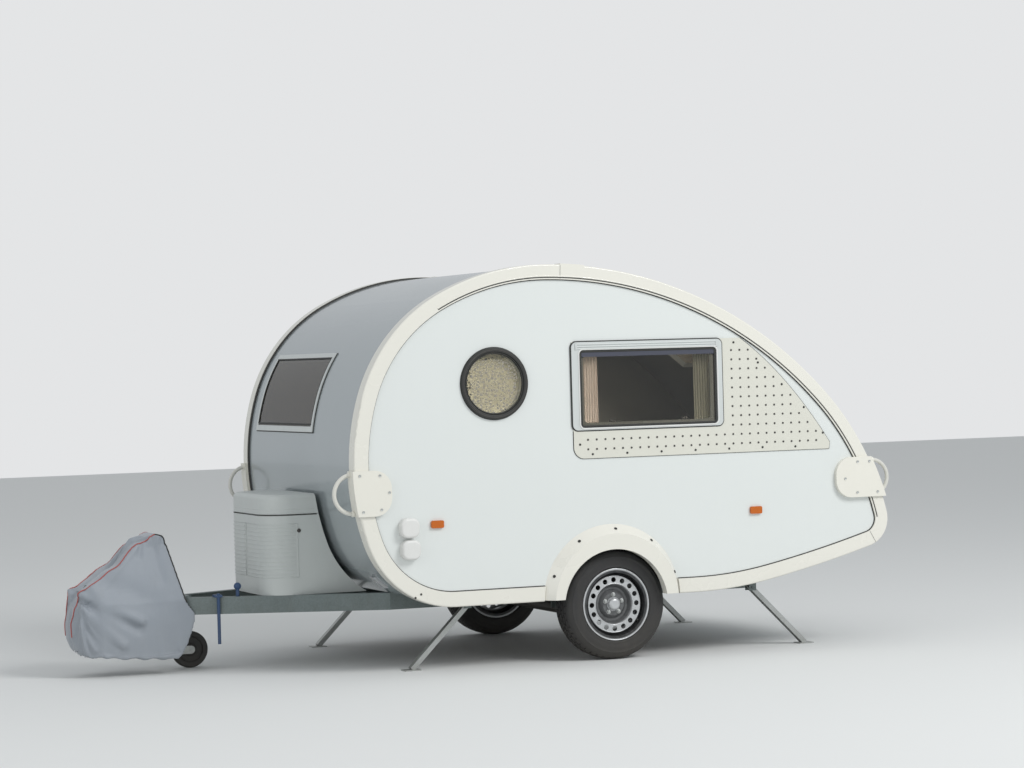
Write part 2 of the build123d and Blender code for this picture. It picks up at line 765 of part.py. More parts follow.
def locker_solid(shrink, z_low, z_high):
    """Locker volume between two levels, made smaller by shrink."""
    side = slab(locker_side(shrink, z_low, z_high), -LOCKER_HALF_Y, LOCKER_HALF_Y)
    return side & side_plan(z_low, z_high, locker_plan(shrink))


def locker_axis():
    """Hinge axis of the locker lid, behind its back at the top."""
    z = LOCKER_TOP_Z - LOCKER_HINGE_R - LOCKER_WALL
    behind = LOCKER_HINGE_R + LOCKER_HINGE_GAP - LOCKER_BODY_GAP
    back = outline(behind) & rect((CROWN_X, CROWN_X + 2000), (z - 0.5, z + 0.5))
    return back.bounding_box().max.X, z


def locker_strap(z):
    """Side view of a hinge strap that follows the locker's back."""
    near = LOCKER_STRAP_T + LOCKER_HINGE_GAP - LOCKER_BODY_GAP
    ahead = rect((CROWN_X, CROWN_X + 2000), (LOCKER_SEAM_Z - LOCKER_STRAP_H, z))
    foot = rect((CROWN_X, CROWN_X + 2000), (LOCKER_SEAM_Z - LOCKER_STRAP_H, LOCKER_SEAM_Z - LOCKER_LID_GAP))
    arm = (outline(LOCKER_HINGE_GAP - LOCKER_BODY_GAP) - outline(near)) & ahead
    return arm + ((outline(-LOCKER_BODY_GAP) - outline(near)) & foot)


def lid_shell(shrink):
    """Locker lid volume with a rounded upper edge."""
    low = LOCKER_SEAM_Z + LOCKER_LID_GAP
    solid = locker_solid(shrink, low, LOCKER_TOP_Z - shrink)
    x_max = solid.bounding_box().max.X
    top = [e for e in solid.edges().group_by(Axis.Z)[-1] if (e @ 0.5).X > x_max - LOCKER_CORNER_R - 1]
    return fillet(top, LOCKER_LID_R - shrink)


def gas_locker():
    """Locker box with its hinge straps, and the lid."""
    base_z = BEAM_TOP_Z
    x, z = locker_axis()
    box = locker_solid(0, base_z, LOCKER_SEAM_Z) - locker_solid(LOCKER_WALL, base_z + LOCKER_WALL, LOCKER_SEAM_Z)
    lid = lid_shell(0) - lid_shell(LOCKER_WALL)
    third = LOCKER_HINGE_L / 3
    for y in LOCKER_HINGE_YS:
        for side in (-1, 1):
            span = (y + side * third - third / 2 + 0.5, y + side * third + third / 2 - 0.5)
            box += y_rod(x, z, LOCKER_HINGE_R, *span)
            box += slab(locker_strap(z), *span)
        box += y_rod(x, z, LOCKER_PIN_R, y - LOCKER_HINGE_L / 2, y + LOCKER_HINGE_L / 2)
        span = (y - third / 2, y + third / 2)
        knuckle = y_rod(x, z, LOCKER_HINGE_R, *span)
        knuckle += block((x, x + 2 * LOCKER_HINGE_R), span, (z, z + LOCKER_HINGE_R))
        lid += knuckle - y_rod(x, z, LOCKER_PIN_R + 0.1, *span)
    return box, lid


# Chassis
def mitred(offset):
    """Plan points of the left beam's path, moved outwards by offset."""
    dx = BEAM_TIP[0] - BEAM_KINK[0]
    dy = BEAM_TIP[1] - BEAM_KINK[1]
    length = sqrt(dx * dx + dy * dy)
    nx, ny = -dy / length, dx / length
    tip = (BEAM_TIP[0] + nx * offset, BEAM_TIP[1] + ny * offset)
    half = atan2(nx, ny) / 2
    kink = (BEAM_KINK[0] + offset * tan(half), BEAM_KINK[1] + offset)
    return [tip, kink, (BEAM_REAR_X, BEAM_KINK[1] + offset)]


def beam_strip(low, high, z_low, z_high):
    """Upright strip of the left beam between two offsets from its inner line."""
    points = mitred(low) + mitred(high)[::-1]
    return side_plan(z_low, z_high, make_face(Polyline(*points, close=True)))


def chassis_frame():
    """Two open channel beams, cross members, tip plate, axle brackets and steady ears."""
    bottom = BEAM_TOP_Z - BEAM_H
    beam = beam_strip(BEAM_W - BEAM_T, BEAM_W, bottom, BEAM_TOP_Z)
    beam += beam_strip(0, BEAM_W, bottom, bottom + BEAM_T)
    beam += beam_strip(0, BEAM_W, BEAM_TOP_Z - BEAM_T, BEAM_TOP_Z)
    frame = both(beam)
    inner_y = BEAM_KINK[1]
    crosses = [(CROSS_X, inner_y)] + [(x, CROSS_REACH_Y) for x in STEADY_PIVOT_XS.values()]
    for x, reach in crosses:
        outer = block((x - CROSS_W / 2, x + CROSS_W / 2), (-reach, reach), (BEAM_TOP_Z - CROSS_H, BEAM_TOP_Z))
        hollow = block((x - CROSS_W / 2 + BEAM_T, x + CROSS_W / 2), (-reach, reach),
                       (BEAM_TOP_Z - CROSS_H + BEAM_T, BEAM_TOP_Z - BEAM_T))
        frame += outer - hollow
    half = BEAM_TIP[1] + BEAM_W
    frame += block(TIP_PLATE_X, (-half, half), (BEAM_TOP_Z, BEAM_TOP_Z + TIP_PLATE_T))
    bracket_y = (inner_y + BEAM_W - BEAM_T, inner_y + BEAM_W + BEAM_T)
    bracket = block((AXLE_TUBE_X - 70, AXLE_TUBE_X + 70), bracket_y, (AXLE_TUBE_Z, bottom))
    bracket -= y_rod(AXLE_TUBE_X, AXLE_TUBE_Z, AXLE_TUBE_R, 0, 1000)
    frame += both(bracket)
    for x in STEADY_PIVOT_XS.values():
        frame += both(steady_ears(x, BEAM_TOP_Z - CROSS_H))
    return frame


def steady_ears(x, top_z):
    """Two ears and the pin under the left beam that a steady turns on."""
    ear_low = STEADY_PIVOT_Z - 16
    inner = STEADY_W / 2 + STEADY_EAR_GAP
    ears = []
    for side in (-1, 1):
        y_a = STEADY_Y + side * inner
        y_b = STEADY_Y + side * (inner + STEADY_EAR_T)
        ears.append(block((x - 22, x + 22), (min(y_a, y_b), max(y_a, y_b)), (ear_low, top_z)))
    reach = inner + STEADY_EAR_T + 6
    pin = y_rod(x, STEADY_PIVOT_Z, STEADY_PIN_R, STEADY_Y - reach, STEADY_Y + reach)
    return ears[0] + ears[1] + pin


def corner_steady(place, side):
    """Channel leg with a foot pad, slanting towards its own end of the vehicle."""
    facing = 1 if place == "front" else -1
    x = STEADY_PIVOT_XS[place]
    drop = STEADY_PIVOT_Z - STEADY_PAD_T
    length = drop / sin(radians(STEADY_ANGLE))
    half_w, half_d = STEADY_W / 2, STEADY_D / 2
    leg = block((-half_d, length), (-half_w, half_w), (-half_d, half_d))
    leg -= block((-half_d, length + half_d), (STEADY_T - half_w, half_w - STEADY_T), (-half_d - 1, half_d - STEADY_T))
    leg -= y_rod(0, 0, STEADY_PIN_R + STEADY_PIN_GAP, -half_w, half_w)
    turned = Rot(0, STEADY_ANGLE, 0) * leg
    if facing < 0:
        turned = mirror(turned, about=Plane.YZ)
    turned = Pos(x, STEADY_Y, STEADY_PIVOT_Z) * turned
    turned -= block((x - 1000, x + 1000), (0, 1000), (-500, STEADY_PAD_T))
    foot_x = x + facing * drop / tan(radians(STEADY_ANGLE))
    pad = block(grown((foot_x, foot_x), STEADY_PAD_L / 2), grown((STEADY_Y, STEADY_Y), STEADY_PAD_W / 2),
                (0, STEADY_PAD_T))
    steady = turned + pad
    return steady if side == "left" else mirrored(steady)


def overrun_unit():
    """Overrun housing between the beam tips, with its draw tube and the hand brake lever."""
    top = BEAM_TOP_Z
    unit = block(HOUSING_X, (-HOUSING_HALF_Y, HOUSING_HALF_Y), (HOUSING_BOTTOM_Z, top))
    unit += Pos(HOUSING_X[1], 0, DRAW_TUBE_Z) * Rot(0, 90, 0) * Cylinder(
        DRAW_TUBE_R, HEAD_REAR_X - HOUSING_X[1], align=(Align.CENTER, Align.CENTER, Align.MIN))
    lever = tube_between((LEVER_FOOT[0], 0, LEVER_FOOT[1]), (LEVER_TOP[0], 0, LEVER_TOP[1]), LEVER_R)
    boss = block((LEVER_FOOT[0] - 26, LEVER_FOOT[0] + 26), (-14, 14), (top, LEVER_FOOT[1] + 10))
    return unit + lever + boss


def coupling_head():
    """Coupling head with its ball socket, open below."""
    head = Pos(BALL_X, 0, BALL_Z - SOCKET_DEPTH) * Cylinder(
        HEAD_R, HEAD_TOP_Z - BALL_Z + SOCKET_DEPTH, align=(Align.CENTER, Align.CENTER, Align.MIN))
    neck_top = HEAD_TOP_Z - NECK_DROP
    head += block((HEAD_REAR_X, BALL_X), (-HEAD_R, HEAD_R), (BALL_Z - SOCKET_DEPTH, neck_top))
    head += block((HEAD_REAR_X, HEAD_REAR_X + NECK_REAR_L), (-HEAD_R, HEAD_R), (DRAW_TUBE_Z - DRAW_TUBE_R, neck_top))
    grip = tube_between((HEAD_REAR_X + 30, 0, HEAD_TOP_Z + 20), (BALL_X, 0, HEAD_TOP_Z + 34), 10)
    post = block((BALL_X - 24, BALL_X + 6), (-9, 9), (HEAD_TOP_Z - 4, HEAD_TOP_Z + 32))
    head += grip + post
    socket = Pos(BALL_X, 0, BALL_Z) * Sphere(SOCKET_R)
    socket += Pos(BALL_X, 0, 0) * Cylinder(SOCKET_R, BALL_Z, align=(Align.CENTER, Align.CENTER, Align.MIN))
    return head - socket


def hood_volume(shrink, side):
    """Hood as a volume: a side outline that narrows upwards and towards the nose."""
    low, high = HOOD_SIDE[0][1] - 100, HOOD_SIDE[-1][1] + 900
    top_z = max(z for _, z in HOOD_SIDE)
    a = HOOD_BOTTOM_HALF_Y - shrink
    right, left = HOOD_TOP_Y[0] + shrink, HOOD_TOP_Y[1] - shrink
    front_view = make_face(Polyline((-a, low), (a, low), (a, HOOD_SHOULDER_Z), (left, top_z), (right, top_z),
                                    (-a, HOOD_SHOULDER_Z), close=True))
    nose_x = max(x for x, _ in HOOD_SIDE)
    tail_x = nose_x - 1000
    c, d = HOOD_BOTTOM_HALF_Y - shrink, HOOD_NOSE_HALF_Y - shrink
    bend_x = nose_x - HOOD_NOSE_TAPER
    plan = make_face(Polyline((tail_x, -c), (bend_x, -c), (nose_x, -d), (nose_x, d), (bend_x, c), (tail_x, c),
                              close=True))
    across = Plane.YZ.offset(tail_x) * extrude(front_view, amount=1000)
    return slab(side, -c, c) & across & side_plan(low, high, plan)


def coupling_cover():
    """Fabric hood, open below and behind, clear of the jockey wheel's swing."""
    outer = make_face(Polyline(*HOOD_SIDE, close=True))
    inner = offset(outer, -HOOD_T)
    for x, z in (HOOD_BACK_OPENING, HOOD_HEM):
        inner += rect((BEAM_KINK[0], x), (0, z))
    hood = hood_volume(0, outer) - hood_volume(HOOD_T, inner)
    reach = sqrt((JOCKEY_TRAIL + JOCKEY_WHEEL_R) ** 2 + (JOCKEY_WHEEL_W / 2) ** 2) + HOOD_SWING_GAP
    return hood - side_plan(0, BEAM_TOP_Z - BEAM_H, Pos(JOCKEY_X, JOCKEY_Y) * Circle(reach))


# Wheels and axle
def axle_assembly():
    """Axle tube with trailing arms and stub axles."""
    axle = y_rod(AXLE_TUBE_X, AXLE_TUBE_Z, AXLE_TUBE_R, -ARM_INNER_Y, ARM_INNER_Y)
    arm_y = (ARM_INNER_Y, ARM_INNER_Y + ARM_T)
    ends = Pos(AXLE_TUBE_X, AXLE_TUBE_Z) * Circle(ARM_R + 8) + Pos(0, AXLE_Z) * Circle(ARM_R)
    arm = slab(make_hull(ends.edges()), *arm_y)
    centre_y = TYRE_OUTER_Y - TYRE_W / 2
    arm += y_rod(0, AXLE_Z, STUB_R, ARM_INNER_Y, centre_y + 12)
    arm += y_rod(0, AXLE_Z, STUB_R + 9, arm_y[1], centre_y - DRUM_W - 3)
    return axle + both(arm)


def tyre():
    """Tyre centred on the origin, axis along y."""
    half = TYRE_W / 2
    b = BEAD_HALF_W
    points = [(BEAD_R, -b), (BEAD_R + 19, -b), (240, -half), (TYRE_R - 14, -half + 12), (TYRE_R, -half + 34),
              (TYRE_R, half - 34), (TYRE_R - 14, half - 12), (240, half), (BEAD_R + 19, b), (BEAD_R, b)]
    face = make_face(Polyline(*points, close=True))
    shoulders = [v for v in face.vertices() if BEAD_R + 20 < v.X < TYRE_R - 1]
    face = fillet(shoulders, 10)
    return revolve(face, Axis.Y)


def wheel():
    """Steel wheel centred on the origin, its outside towards +y, with hub and brake drum."""
    w = FLANGE_HALF_W
    seat = BEAD_R
    f = BEAD_HALF_W + BEAD_GAP
    barrel = [(seat, -f), (RIM_R, -f), (RIM_R, -w), (seat - 6, -w), (seat - 8, -40), (seat - 30, -30),
              (seat - 30, 10), (seat - 8, 30), (seat - 6, w), (RIM_R, w), (RIM_R, f), (seat, f),
              (seat - 2, 33), (seat - 24, 12), (seat - 24, -32), (seat - 2, -43)]
    disc = [(40, 46), (62, 46), (80, 26), (92, 26), (112, 58), (152, 58), (seat - 4, 42), (seat - 4, 36),
            (150, 52), (115, 52), (95, 20), (77, 20), (59, 40), (40, 40)]
    solid = revolve(make_face(Polyline(*barrel, close=True)), Axis.Y)
    solid += revolve(make_face(Polyline(*disc, close=True)), Axis.Y)
    for i in range(HOLE_COUNT):
        angle = 2 * pi * i / HOLE_COUNT
        solid -= y_rod(HOLE_RING_R * cos(angle), HOLE_RING_R * sin(angle), HOLE_R, 30, 80)
    solid += y_rod(0, 0, 42, -DRUM_W + 20, 48)
    cap = y_rod(0, 0, HUB_CAP_R, 40, HUB_CAP_Y)
    solid += fillet(cap.edges().group_by(Axis.Y)[-1], HUB_CAP_R / 2)
    solid += y_rod(0, 0, DRUM_R, -DRUM_W, 18)
    bore = y_rod(0, 0, STUB_R + STUB_GAP, -DRUM_W, 20)
    return solid - bore


# Jockey wheel
def jockey_outer_tube():
    """Fixed outer tube with its clamp on the right beam and the crank on top."""
    low, high = JOCKEY_TUBE_Z
    place = Pos(JOCKEY_X, JOCKEY_Y, 0)
    tube = place * side_plan(low, high, Circle(JOCKEY_OUTER_R))
    beam_y = -beam_outer_y(JOCKEY_X)
    clamp = place * side_plan(*JOCKEY_CLAMP_Z, Circle(JOCKEY_OUTER_R + 6))
    foot_x = (JOCKEY_X - 28, JOCKEY_X + 2)
    clamp += block(foot_x, (JOCKEY_Y, beam_y + 20), JOCKEY_CLAMP_Z)
    clamp -= mirrored(beam_strip(-200, BEAM_W, 0, 1000))
    tube += clamp
    tube -= place * side_plan(low, high - JOCKEY_TUBE_CAP, Circle(JOCKEY_INNER_R + JOCKEY_SLIDE_GAP))
    tube += place * side_plan(high, high + 30, Circle(8))
    tube += block((JOCKEY_X - 8, JOCKEY_X + JOCKEY_CRANK_L), (JOCKEY_Y - 8, JOCKEY_Y + 8), (high + 30, high + 38))
    tube += Pos(JOCKEY_X + JOCKEY_CRANK_L - 12, JOCKEY_Y, 0) * side_plan(high + 38, high + 85, Circle(11))
    return tube


def beam_outer_y(x):
    """Outer face of the left beam at a place along the drawbar."""
    tip, kink, _ = mitred(BEAM_W)
    share = (x - kink[0]) / (tip[0] - kink[0])
    return kink[1] + share * (tip[1] - kink[1])


def jockey_inner_tube():
    """Sliding tube with the spigot that the fork turns on."""
    low, high = JOCKEY_CROWN_Z
    place = Pos(JOCKEY_X, JOCKEY_Y, 0)
    tube = side_plan(high + 0.5, JOCKEY_INNER_TOP_Z, Circle(JOCKEY_INNER_R))
    tube += side_plan(low - 6, high + 0.5, Circle(JOCKEY_SPIGOT_R))
    tube += side_plan(low - 6, low - 0.5, Circle(JOCKEY_SPIGOT_R + 6))
    return place * tube


def jockey_fork():
    """Fork with trailing arms and the wheel's axle pin."""
    low, high = JOCKEY_CROWN_Z
    inner = JOCKEY_WHEEL_W / 2 + JOCKEY_SIDE_GAP
    outer = inner + JOCKEY_ARM_T
    hub_x = JOCKEY_X - JOCKEY_TRAIL
    crown = block((JOCKEY_X - 44, JOCKEY_X + 34), (-outer, outer), (low, high))
    arm_z = grown((JOCKEY_WHEEL_R, JOCKEY_WHEEL_R), JOCKEY_ARM_H / 2)
    bar = rect((hub_x, JOCKEY_X + 34), arm_z) + Pos(hub_x, JOCKEY_WHEEL_R) * Circle(JOCKEY_ARM_H / 2)
    bar += rect((JOCKEY_X - 44, JOCKEY_X + 34), (arm_z[0], high))
    fork = crown + both(slab(bar, inner, outer))
    fork += y_rod(hub_x, JOCKEY_WHEEL_R, JOCKEY_PIN_R, -outer - 5, outer + 5)
    fork = Pos(0, JOCKEY_Y, 0) * fork
    bore = side_plan(0, 400, Pos(JOCKEY_X, JOCKEY_Y) * Circle(JOCKEY_SPIGOT_R + JOCKEY_PIN_GAP))
    return fork - bore


def jockey_wheel():
    """Small solid wheel with a rounded tread and a dished side."""
    half = JOCKEY_WHEEL_W / 2
    points = [(JOCKEY_PIN_R + JOCKEY_PIN_GAP, -half), (30, -half), (36, -half + 9), (66, -half + 9), (72, -half + 2),
              (JOCKEY_WHEEL_R - 8, -half), (JOCKEY_WHEEL_R, -half + 10), (JOCKEY_WHEEL_R, half - 10),
              (JOCKEY_WHEEL_R - 8, half), (72, half - 2), (66, half - 9), (36, half - 9), (30, half),
              (JOCKEY_PIN_R + JOCKEY_PIN_GAP, half)]
    solid = revolve(make_face(Polyline(*points, close=True)), Axis.Y)
    return Pos(JOCKEY_X - JOCKEY_TRAIL, JOCKEY_Y, JOCKEY_WHEEL_R) * solid


def drawbar_fittings():
    """Thin rod hanging outside the left beam by its clip, and the round plug holder."""
    y = beam_outer_y(ROD_X) + ROD_R + 4
    rod = Pos(ROD_X, y, 0) * side_plan(ROD_LOW_Z, BEAM_TOP_Z + 20, Circle(ROD_R))
    clip = block((ROD_X - 20, ROD_X + 20), (y - ROD_R - 40, y + ROD_R), (BEAM_TOP_Z, BEAM_TOP_Z + 12))
    y_knob = beam_outer_y(KNOB_X) - BEAM_W / 2
    stalk = Pos(KNOB_X, y_knob, 0) * side_plan(BEAM_TOP_Z, BEAM_TOP_Z + 40, Circle(10))
    knob = Pos(KNOB_X, y_knob, BEAM_TOP_Z + 55) * Sphere(KNOB_R)
    return (rod + clip) + (stalk + knob)


# Cabin
def cabin_furniture():
    """Bed base behind the wheels and the galley cupboard under the porthole."""
    inner = outline(TRIM_T + SHELL_T)
    half = WALL_INNER_Y
    board = BOARD_T
    bed = slab(inner & rect(BED_X, (FLOOR_TOP_Z, BED_TOP_Z)), -half, half)
    under = offset(inner, -board) & rect((BED_X[0] + board, BED_X[1] - board), (FLOOR_TOP_Z, BED_TOP_Z - board))
    bed -= slab(under, board - half, half - board)
    galley = block(GALLEY_X, (GALLEY_Y, half), (FLOOR_TOP_Z, GALLEY_TOP_Z))
    galley -= block((GALLEY_X[0] + board, GALLEY_X[1] - board), (GALLEY_Y + board, half - board),
                    (FLOOR_TOP_Z, GALLEY_TOP_Z - board))
    worktop = block((GALLEY_X[0] - 12, GALLEY_X[1]), (GALLEY_Y - 14, half), (GALLEY_TOP_Z, GALLEY_TOP_Z + 24))
    return bed + (galley + worktop)


def mattress():
    """Mattress on the bed base."""
    inner = outline(TRIM_T + SHELL_T + MATTRESS_EDGE)
    x_range = (BED_X[0], BED_X[1] - MATTRESS_EDGE)
    face = inner & rect(x_range, (BED_TOP_Z, BED_TOP_Z + MATTRESS_T))
    return slab(face, MATTRESS_EDGE - WALL_INNER_Y, WALL_INNER_Y - MATTRESS_EDGE)


def curtains():
    """Drapes at both ends of the side windows and the net behind the left porthole."""
    y_high = WALL_INNER_Y - CURTAIN_GAP
    drape = None
    for ends in CURTAIN_WIDTHS:
        x_range = (min(ends), max(ends))
        piece = block(x_range, (y_high - CURTAIN_T, y_high), grown(PANE_Z, -6))
        drape = piece if drape is None else drape + piece
    net = slab(Pos(PORTHOLE_X, PORTHOLE_Z) * Circle(PORTHOLE_GLASS_R), y_high - NET_T, y_high)
    return both(drape) + net


def build_nodes():
    """Every node by name, in the modelling frame."""
    nodes = {}
    nodes["side_wall_left"], nodes["side_wall_right"] = side_walls()
    nodes["front_shell"], nodes["roof_rear_shell"] = shells()
    nodes["floor_panel"] = floor_panel()
    nodes["wheel_boxes"] = wheel_boxes()
    nodes["edge_trims"] = edge_trims()
    nodes["wheel_arches"] = wheel_arches()
    nodes["side_window_frames"] = side_window_frames()
    nodes["side_window_panes"] = side_window_panes() + porthole_glass(PORTHOLE_X, WALL_OUTER_Y, 1)
    nodes["dimple_panels"] = dimple_panels()
    nodes["porthole_rim"] = porthole_rim(PORTHOLE_X, WALL_OUTER_Y, 1)
    front_frame, front_pane = front_window()
    rear_frame, rear_pane = rear_window()
    nodes["end_window_frames"] = front_frame + rear_frame
    nodes["end_window_panes"] = front_pane + rear_pane
    nodes["corner_plates"] = corner_plates()
    nodes["grab_handles"] = grab_handles()
    nodes["flue_caps"] = flue_caps()
    nodes["side_markers"] = side_markers()
    nodes["front_reflectors"] = front_reflectors()
    nodes["rear_lamps"] = rear_lamps()
    nodes["number_plate_holder"] = number_plate_holder()
    nodes["roof_hatch_frame"], nodes["roof_hatch_lid"] = roof_hatch()
    nodes["entrance_door"], nodes["door_hinges"] = entrance_door()
    nodes["door_porthole_rim"] = porthole_rim(DOOR_MID_X, -WALL_OUTER_Y, -1)
    nodes["door_porthole_glass"] = porthole_glass(DOOR_MID_X, -WALL_OUTER_Y, -1)
    nodes["door_latch"] = door_latch()
    nodes["gas_locker_box"], nodes["gas_locker_lid"] = gas_locker()
    nodes["chassis_frame"] = chassis_frame()
    nodes["overrun_unit"] = overrun_unit()
    nodes["coupling_head"] = coupling_head()
    nodes["coupling_cover"] = coupling_cover()
    nodes["axle_assembly"] = axle_assembly()
    wheel_y = TYRE_OUTER_Y - TYRE_W / 2
    nodes["tyre_left"] = Pos(0, wheel_y, AXLE_Z) * tyre()
    nodes["tyre_right"] = mirrored(nodes["tyre_left"])
    nodes["wheel_left"] = Pos(0, wheel_y, AXLE_Z) * wheel()
    nodes["wheel_right"] = mirrored(nodes["wheel_left"])
    nodes["jockey_outer_tube"] = jockey_outer_tube()
    nodes["jockey_inner_tube"] = jockey_inner_tube()
    nodes["jockey_fork"] = jockey_fork()
    nodes["jockey_wheel"] = jockey_wheel()
    for place in ("front", "rear"):
        for side in ("left", "right"):
            nodes[f"steady_{place}_{side}"] = corner_steady(place, side)
    nodes["drawbar_fittings"] = drawbar_fittings()
    nodes["cabin_furniture"] = cabin_furniture()
    nodes["mattress"] = mattress()
    nodes["curtains"] = curtains()
    return nodes


nodes = build_nodes()
whole = Compound(children=[Compound(n.solids()) for n in nodes.values()]).bounding_box()
shift = Pos(-(whole.min.X + whole.max.X) / 2, -(whole.min.Y + whole.max.Y) / 2, -whole.min.Z)
os.makedirs("parts", exist_ok=True)
for name, shape in nodes.items():
    export_step(shift * shape, f"parts/{name}.step")
print("shift", shift.position, "size", whole.size)
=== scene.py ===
"""Looks of a small teardrop touring caravan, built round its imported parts.

Lengths are in metres. X runs forwards to the coupling, Y to the left and Z up.
"""

import json
import logging
import math
from collections.abc import Callable, Iterable, Iterator, Sequence
from contextlib import contextmanager
from dataclasses import dataclass
from enum import Enum

import bmesh
import bpy
from mathutils import Matrix, Vector

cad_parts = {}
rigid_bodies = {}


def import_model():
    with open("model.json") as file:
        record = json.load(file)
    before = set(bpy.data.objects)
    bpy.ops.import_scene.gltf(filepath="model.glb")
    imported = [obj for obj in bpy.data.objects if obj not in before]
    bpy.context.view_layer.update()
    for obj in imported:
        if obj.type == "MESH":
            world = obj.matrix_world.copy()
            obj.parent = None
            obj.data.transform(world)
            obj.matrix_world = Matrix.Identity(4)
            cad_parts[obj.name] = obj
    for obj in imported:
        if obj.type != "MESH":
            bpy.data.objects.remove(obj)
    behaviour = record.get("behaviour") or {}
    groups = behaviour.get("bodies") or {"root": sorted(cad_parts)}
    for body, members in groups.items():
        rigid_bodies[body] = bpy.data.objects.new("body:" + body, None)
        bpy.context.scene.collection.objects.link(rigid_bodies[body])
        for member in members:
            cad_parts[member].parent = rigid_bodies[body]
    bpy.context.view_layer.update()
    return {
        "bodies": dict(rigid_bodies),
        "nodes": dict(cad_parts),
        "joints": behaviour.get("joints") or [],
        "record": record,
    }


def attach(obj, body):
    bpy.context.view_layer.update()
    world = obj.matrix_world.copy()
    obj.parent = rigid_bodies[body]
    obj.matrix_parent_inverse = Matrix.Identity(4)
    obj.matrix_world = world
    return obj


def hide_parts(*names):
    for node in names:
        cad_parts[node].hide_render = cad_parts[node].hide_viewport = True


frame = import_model()

LOG = logging.getLogger("caravan")
AXLE_X = -0.5485
BODY = "caravan_body"
SIDES = (("left", 1), ("right", -1))
Point = tuple[float, float, float]
Colour = Point
Pair = tuple[float, float]
Thing = bpy.types.Object
Tree = bpy.types.NodeTree
Node = bpy.types.Node
Socket = bpy.types.NodeSocket


def at(x: float, y: float, z: float) -> Vector:
    """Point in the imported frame.

    Args:
        x: Distance ahead of the wheel axis.
        y: Distance to the left of the middle.
        z: Height above the ground.

    Returns:
        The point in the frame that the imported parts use.
    """
    return Vector((x + AXLE_X, y, z))


# Modelling by hand: primitives, edit mode and modifiers
def focus(obj: Thing) -> None:
    """Makes a piece the only selected and active one, in object mode."""
    if bpy.context.object is not None and bpy.context.object.mode != "OBJECT":
        bpy.ops.object.mode_set(mode="OBJECT")
    bpy.ops.object.select_all(action="DESELECT")
    bpy.context.view_layer.objects.active = obj
    obj.select_set(True)


def settled() -> Thing:
    """Puts the new primitive's place into its mesh, and returns it."""
    obj = bpy.context.object
    focus(obj)
    bpy.ops.object.transform_apply(location=True, rotation=True, scale=True)
    return obj


def cube(low: Sequence[float], high: Sequence[float]) -> Thing:
    """Box between two corners.

    Args:
        low: Lowest corner.
        high: Highest corner.

    Returns:
        The new box.
    """
    low, high = Vector(low), Vector(high)
    bpy.ops.object.select_all(action="DESELECT")
    bpy.ops.mesh.primitive_cube_add(size=1, location=(low + high) / 2)
    bpy.context.object.scale = high - low
    return settled()


def rod(start: Sequence[float], end: Sequence[float], radius: float, sides: int) -> Thing:
    """Round bar between two points.

    Args:
        start: Centre of the first end.
        end: Centre of the second end.
        radius: Radius of the bar.
        sides: Faces round it.

    Returns:
        The new bar.
    """
    start, end = Vector(start), Vector(end)
    axis = end - start
    turn = axis.to_track_quat("Z", "Y").to_euler()
    bpy.ops.object.select_all(action="DESELECT")
    bpy.ops.mesh.primitive_cylinder_add(vertices=sides, radius=radius, depth=axis.length,
                                        location=(start + end) / 2, rotation=turn)
    return settled()


def torus(centre: Sequence[float], major: float, minor: float) -> Thing:
    """Ring of round section whose axis lies along Y.

    Args:
        centre: Middle of the ring.
        major: Radius of its centre line.
        minor: Radius of its section.

    Returns:
        The new ring.
    """
    bpy.ops.object.select_all(action="DESELECT")
    bpy.ops.mesh.primitive_torus_add(major_radius=major, minor_radius=minor, major_segments=96,
                                     minor_segments=12, location=centre,
                                     rotation=Vector((0, 1, 0)).to_track_quat("Z", "Y").to_euler())
    return settled()


def loop(points: Sequence[Sequence[float]], filled: bool = True) -> Thing:
    """Closed outline from a circle whose corners are moved to the given points.

    Args:
        points: Corners in order.
        filled: Whether the outline has a face.

    Returns:
        The new outline.
    """
    bpy.ops.object.select_all(action="DESELECT")
    bpy.ops.mesh.primitive_circle_add(vertices=len(points), fill_type="NGON" if filled else "NOTHING")
    obj = settled()
    for vertex, point in zip(obj.data.vertices, points):
        vertex.co = point
    return obj


@contextmanager
def editing(obj: Thing, mode: str = "FACE", whole: bool = False) -> Iterator[None]:
    """Opens a piece in edit mode and closes it again.

    Args:
        obj: Piece to edit.
        mode: VERT, EDGE or FACE.
        whole: Whether all of it is selected at the start.
    """
    focus(obj)
    bpy.ops.object.mode_set(mode="EDIT")
    bpy.ops.mesh.select_mode(type=mode)
    if whole:
        bpy.ops.mesh.select_all(action="SELECT")
    yield
    bpy.ops.object.mode_set(mode="OBJECT")


def pick(obj: Thing, test: Callable[[bmesh.types.BMFace], bool]) -> None:
    """Selects, in edit mode, the faces that pass a test.

    Args:
        obj: Piece that is open in edit mode.
        test: Says whether a face is wanted.
    """
    mesh = bmesh.from_edit_mesh(obj.data)
    bpy.ops.mesh.select_all(action="DESELECT")
    for face in [face for face in mesh.faces if test(face)]:
        face.select_set(True)
    bmesh.update_edit_mesh(obj.data)


def cleaned(obj: Thing) -> Thing:
    """Merges doubled corners and turns every face outwards."""
    with editing(obj, "VERT", whole=True):
        bpy.ops.mesh.remove_doubles(threshold=0.00002)
        bpy.ops.mesh.normals_make_consistent(inside=False)
    return obj


def modified(obj: Thing, kind: str, **settings: object) -> Thing:
    """Adds one modifier with its settings and applies it."""
    focus(obj)
    modifier = obj.modifiers.new(kind.title(), kind)
    for key, value in settings.items():
        setattr(modifier, key, value)
    bpy.ops.object.modifier_apply(modifier=modifier.name)
    return obj


def bevelled(obj: Thing, width: float, segments: int) -> Thing:
    """Rounds the sharp edges of a piece."""
    return modified(obj, "BEVEL", width=width, segments=segments, limit_method="ANGLE",
                    angle_limit=math.radians(40))


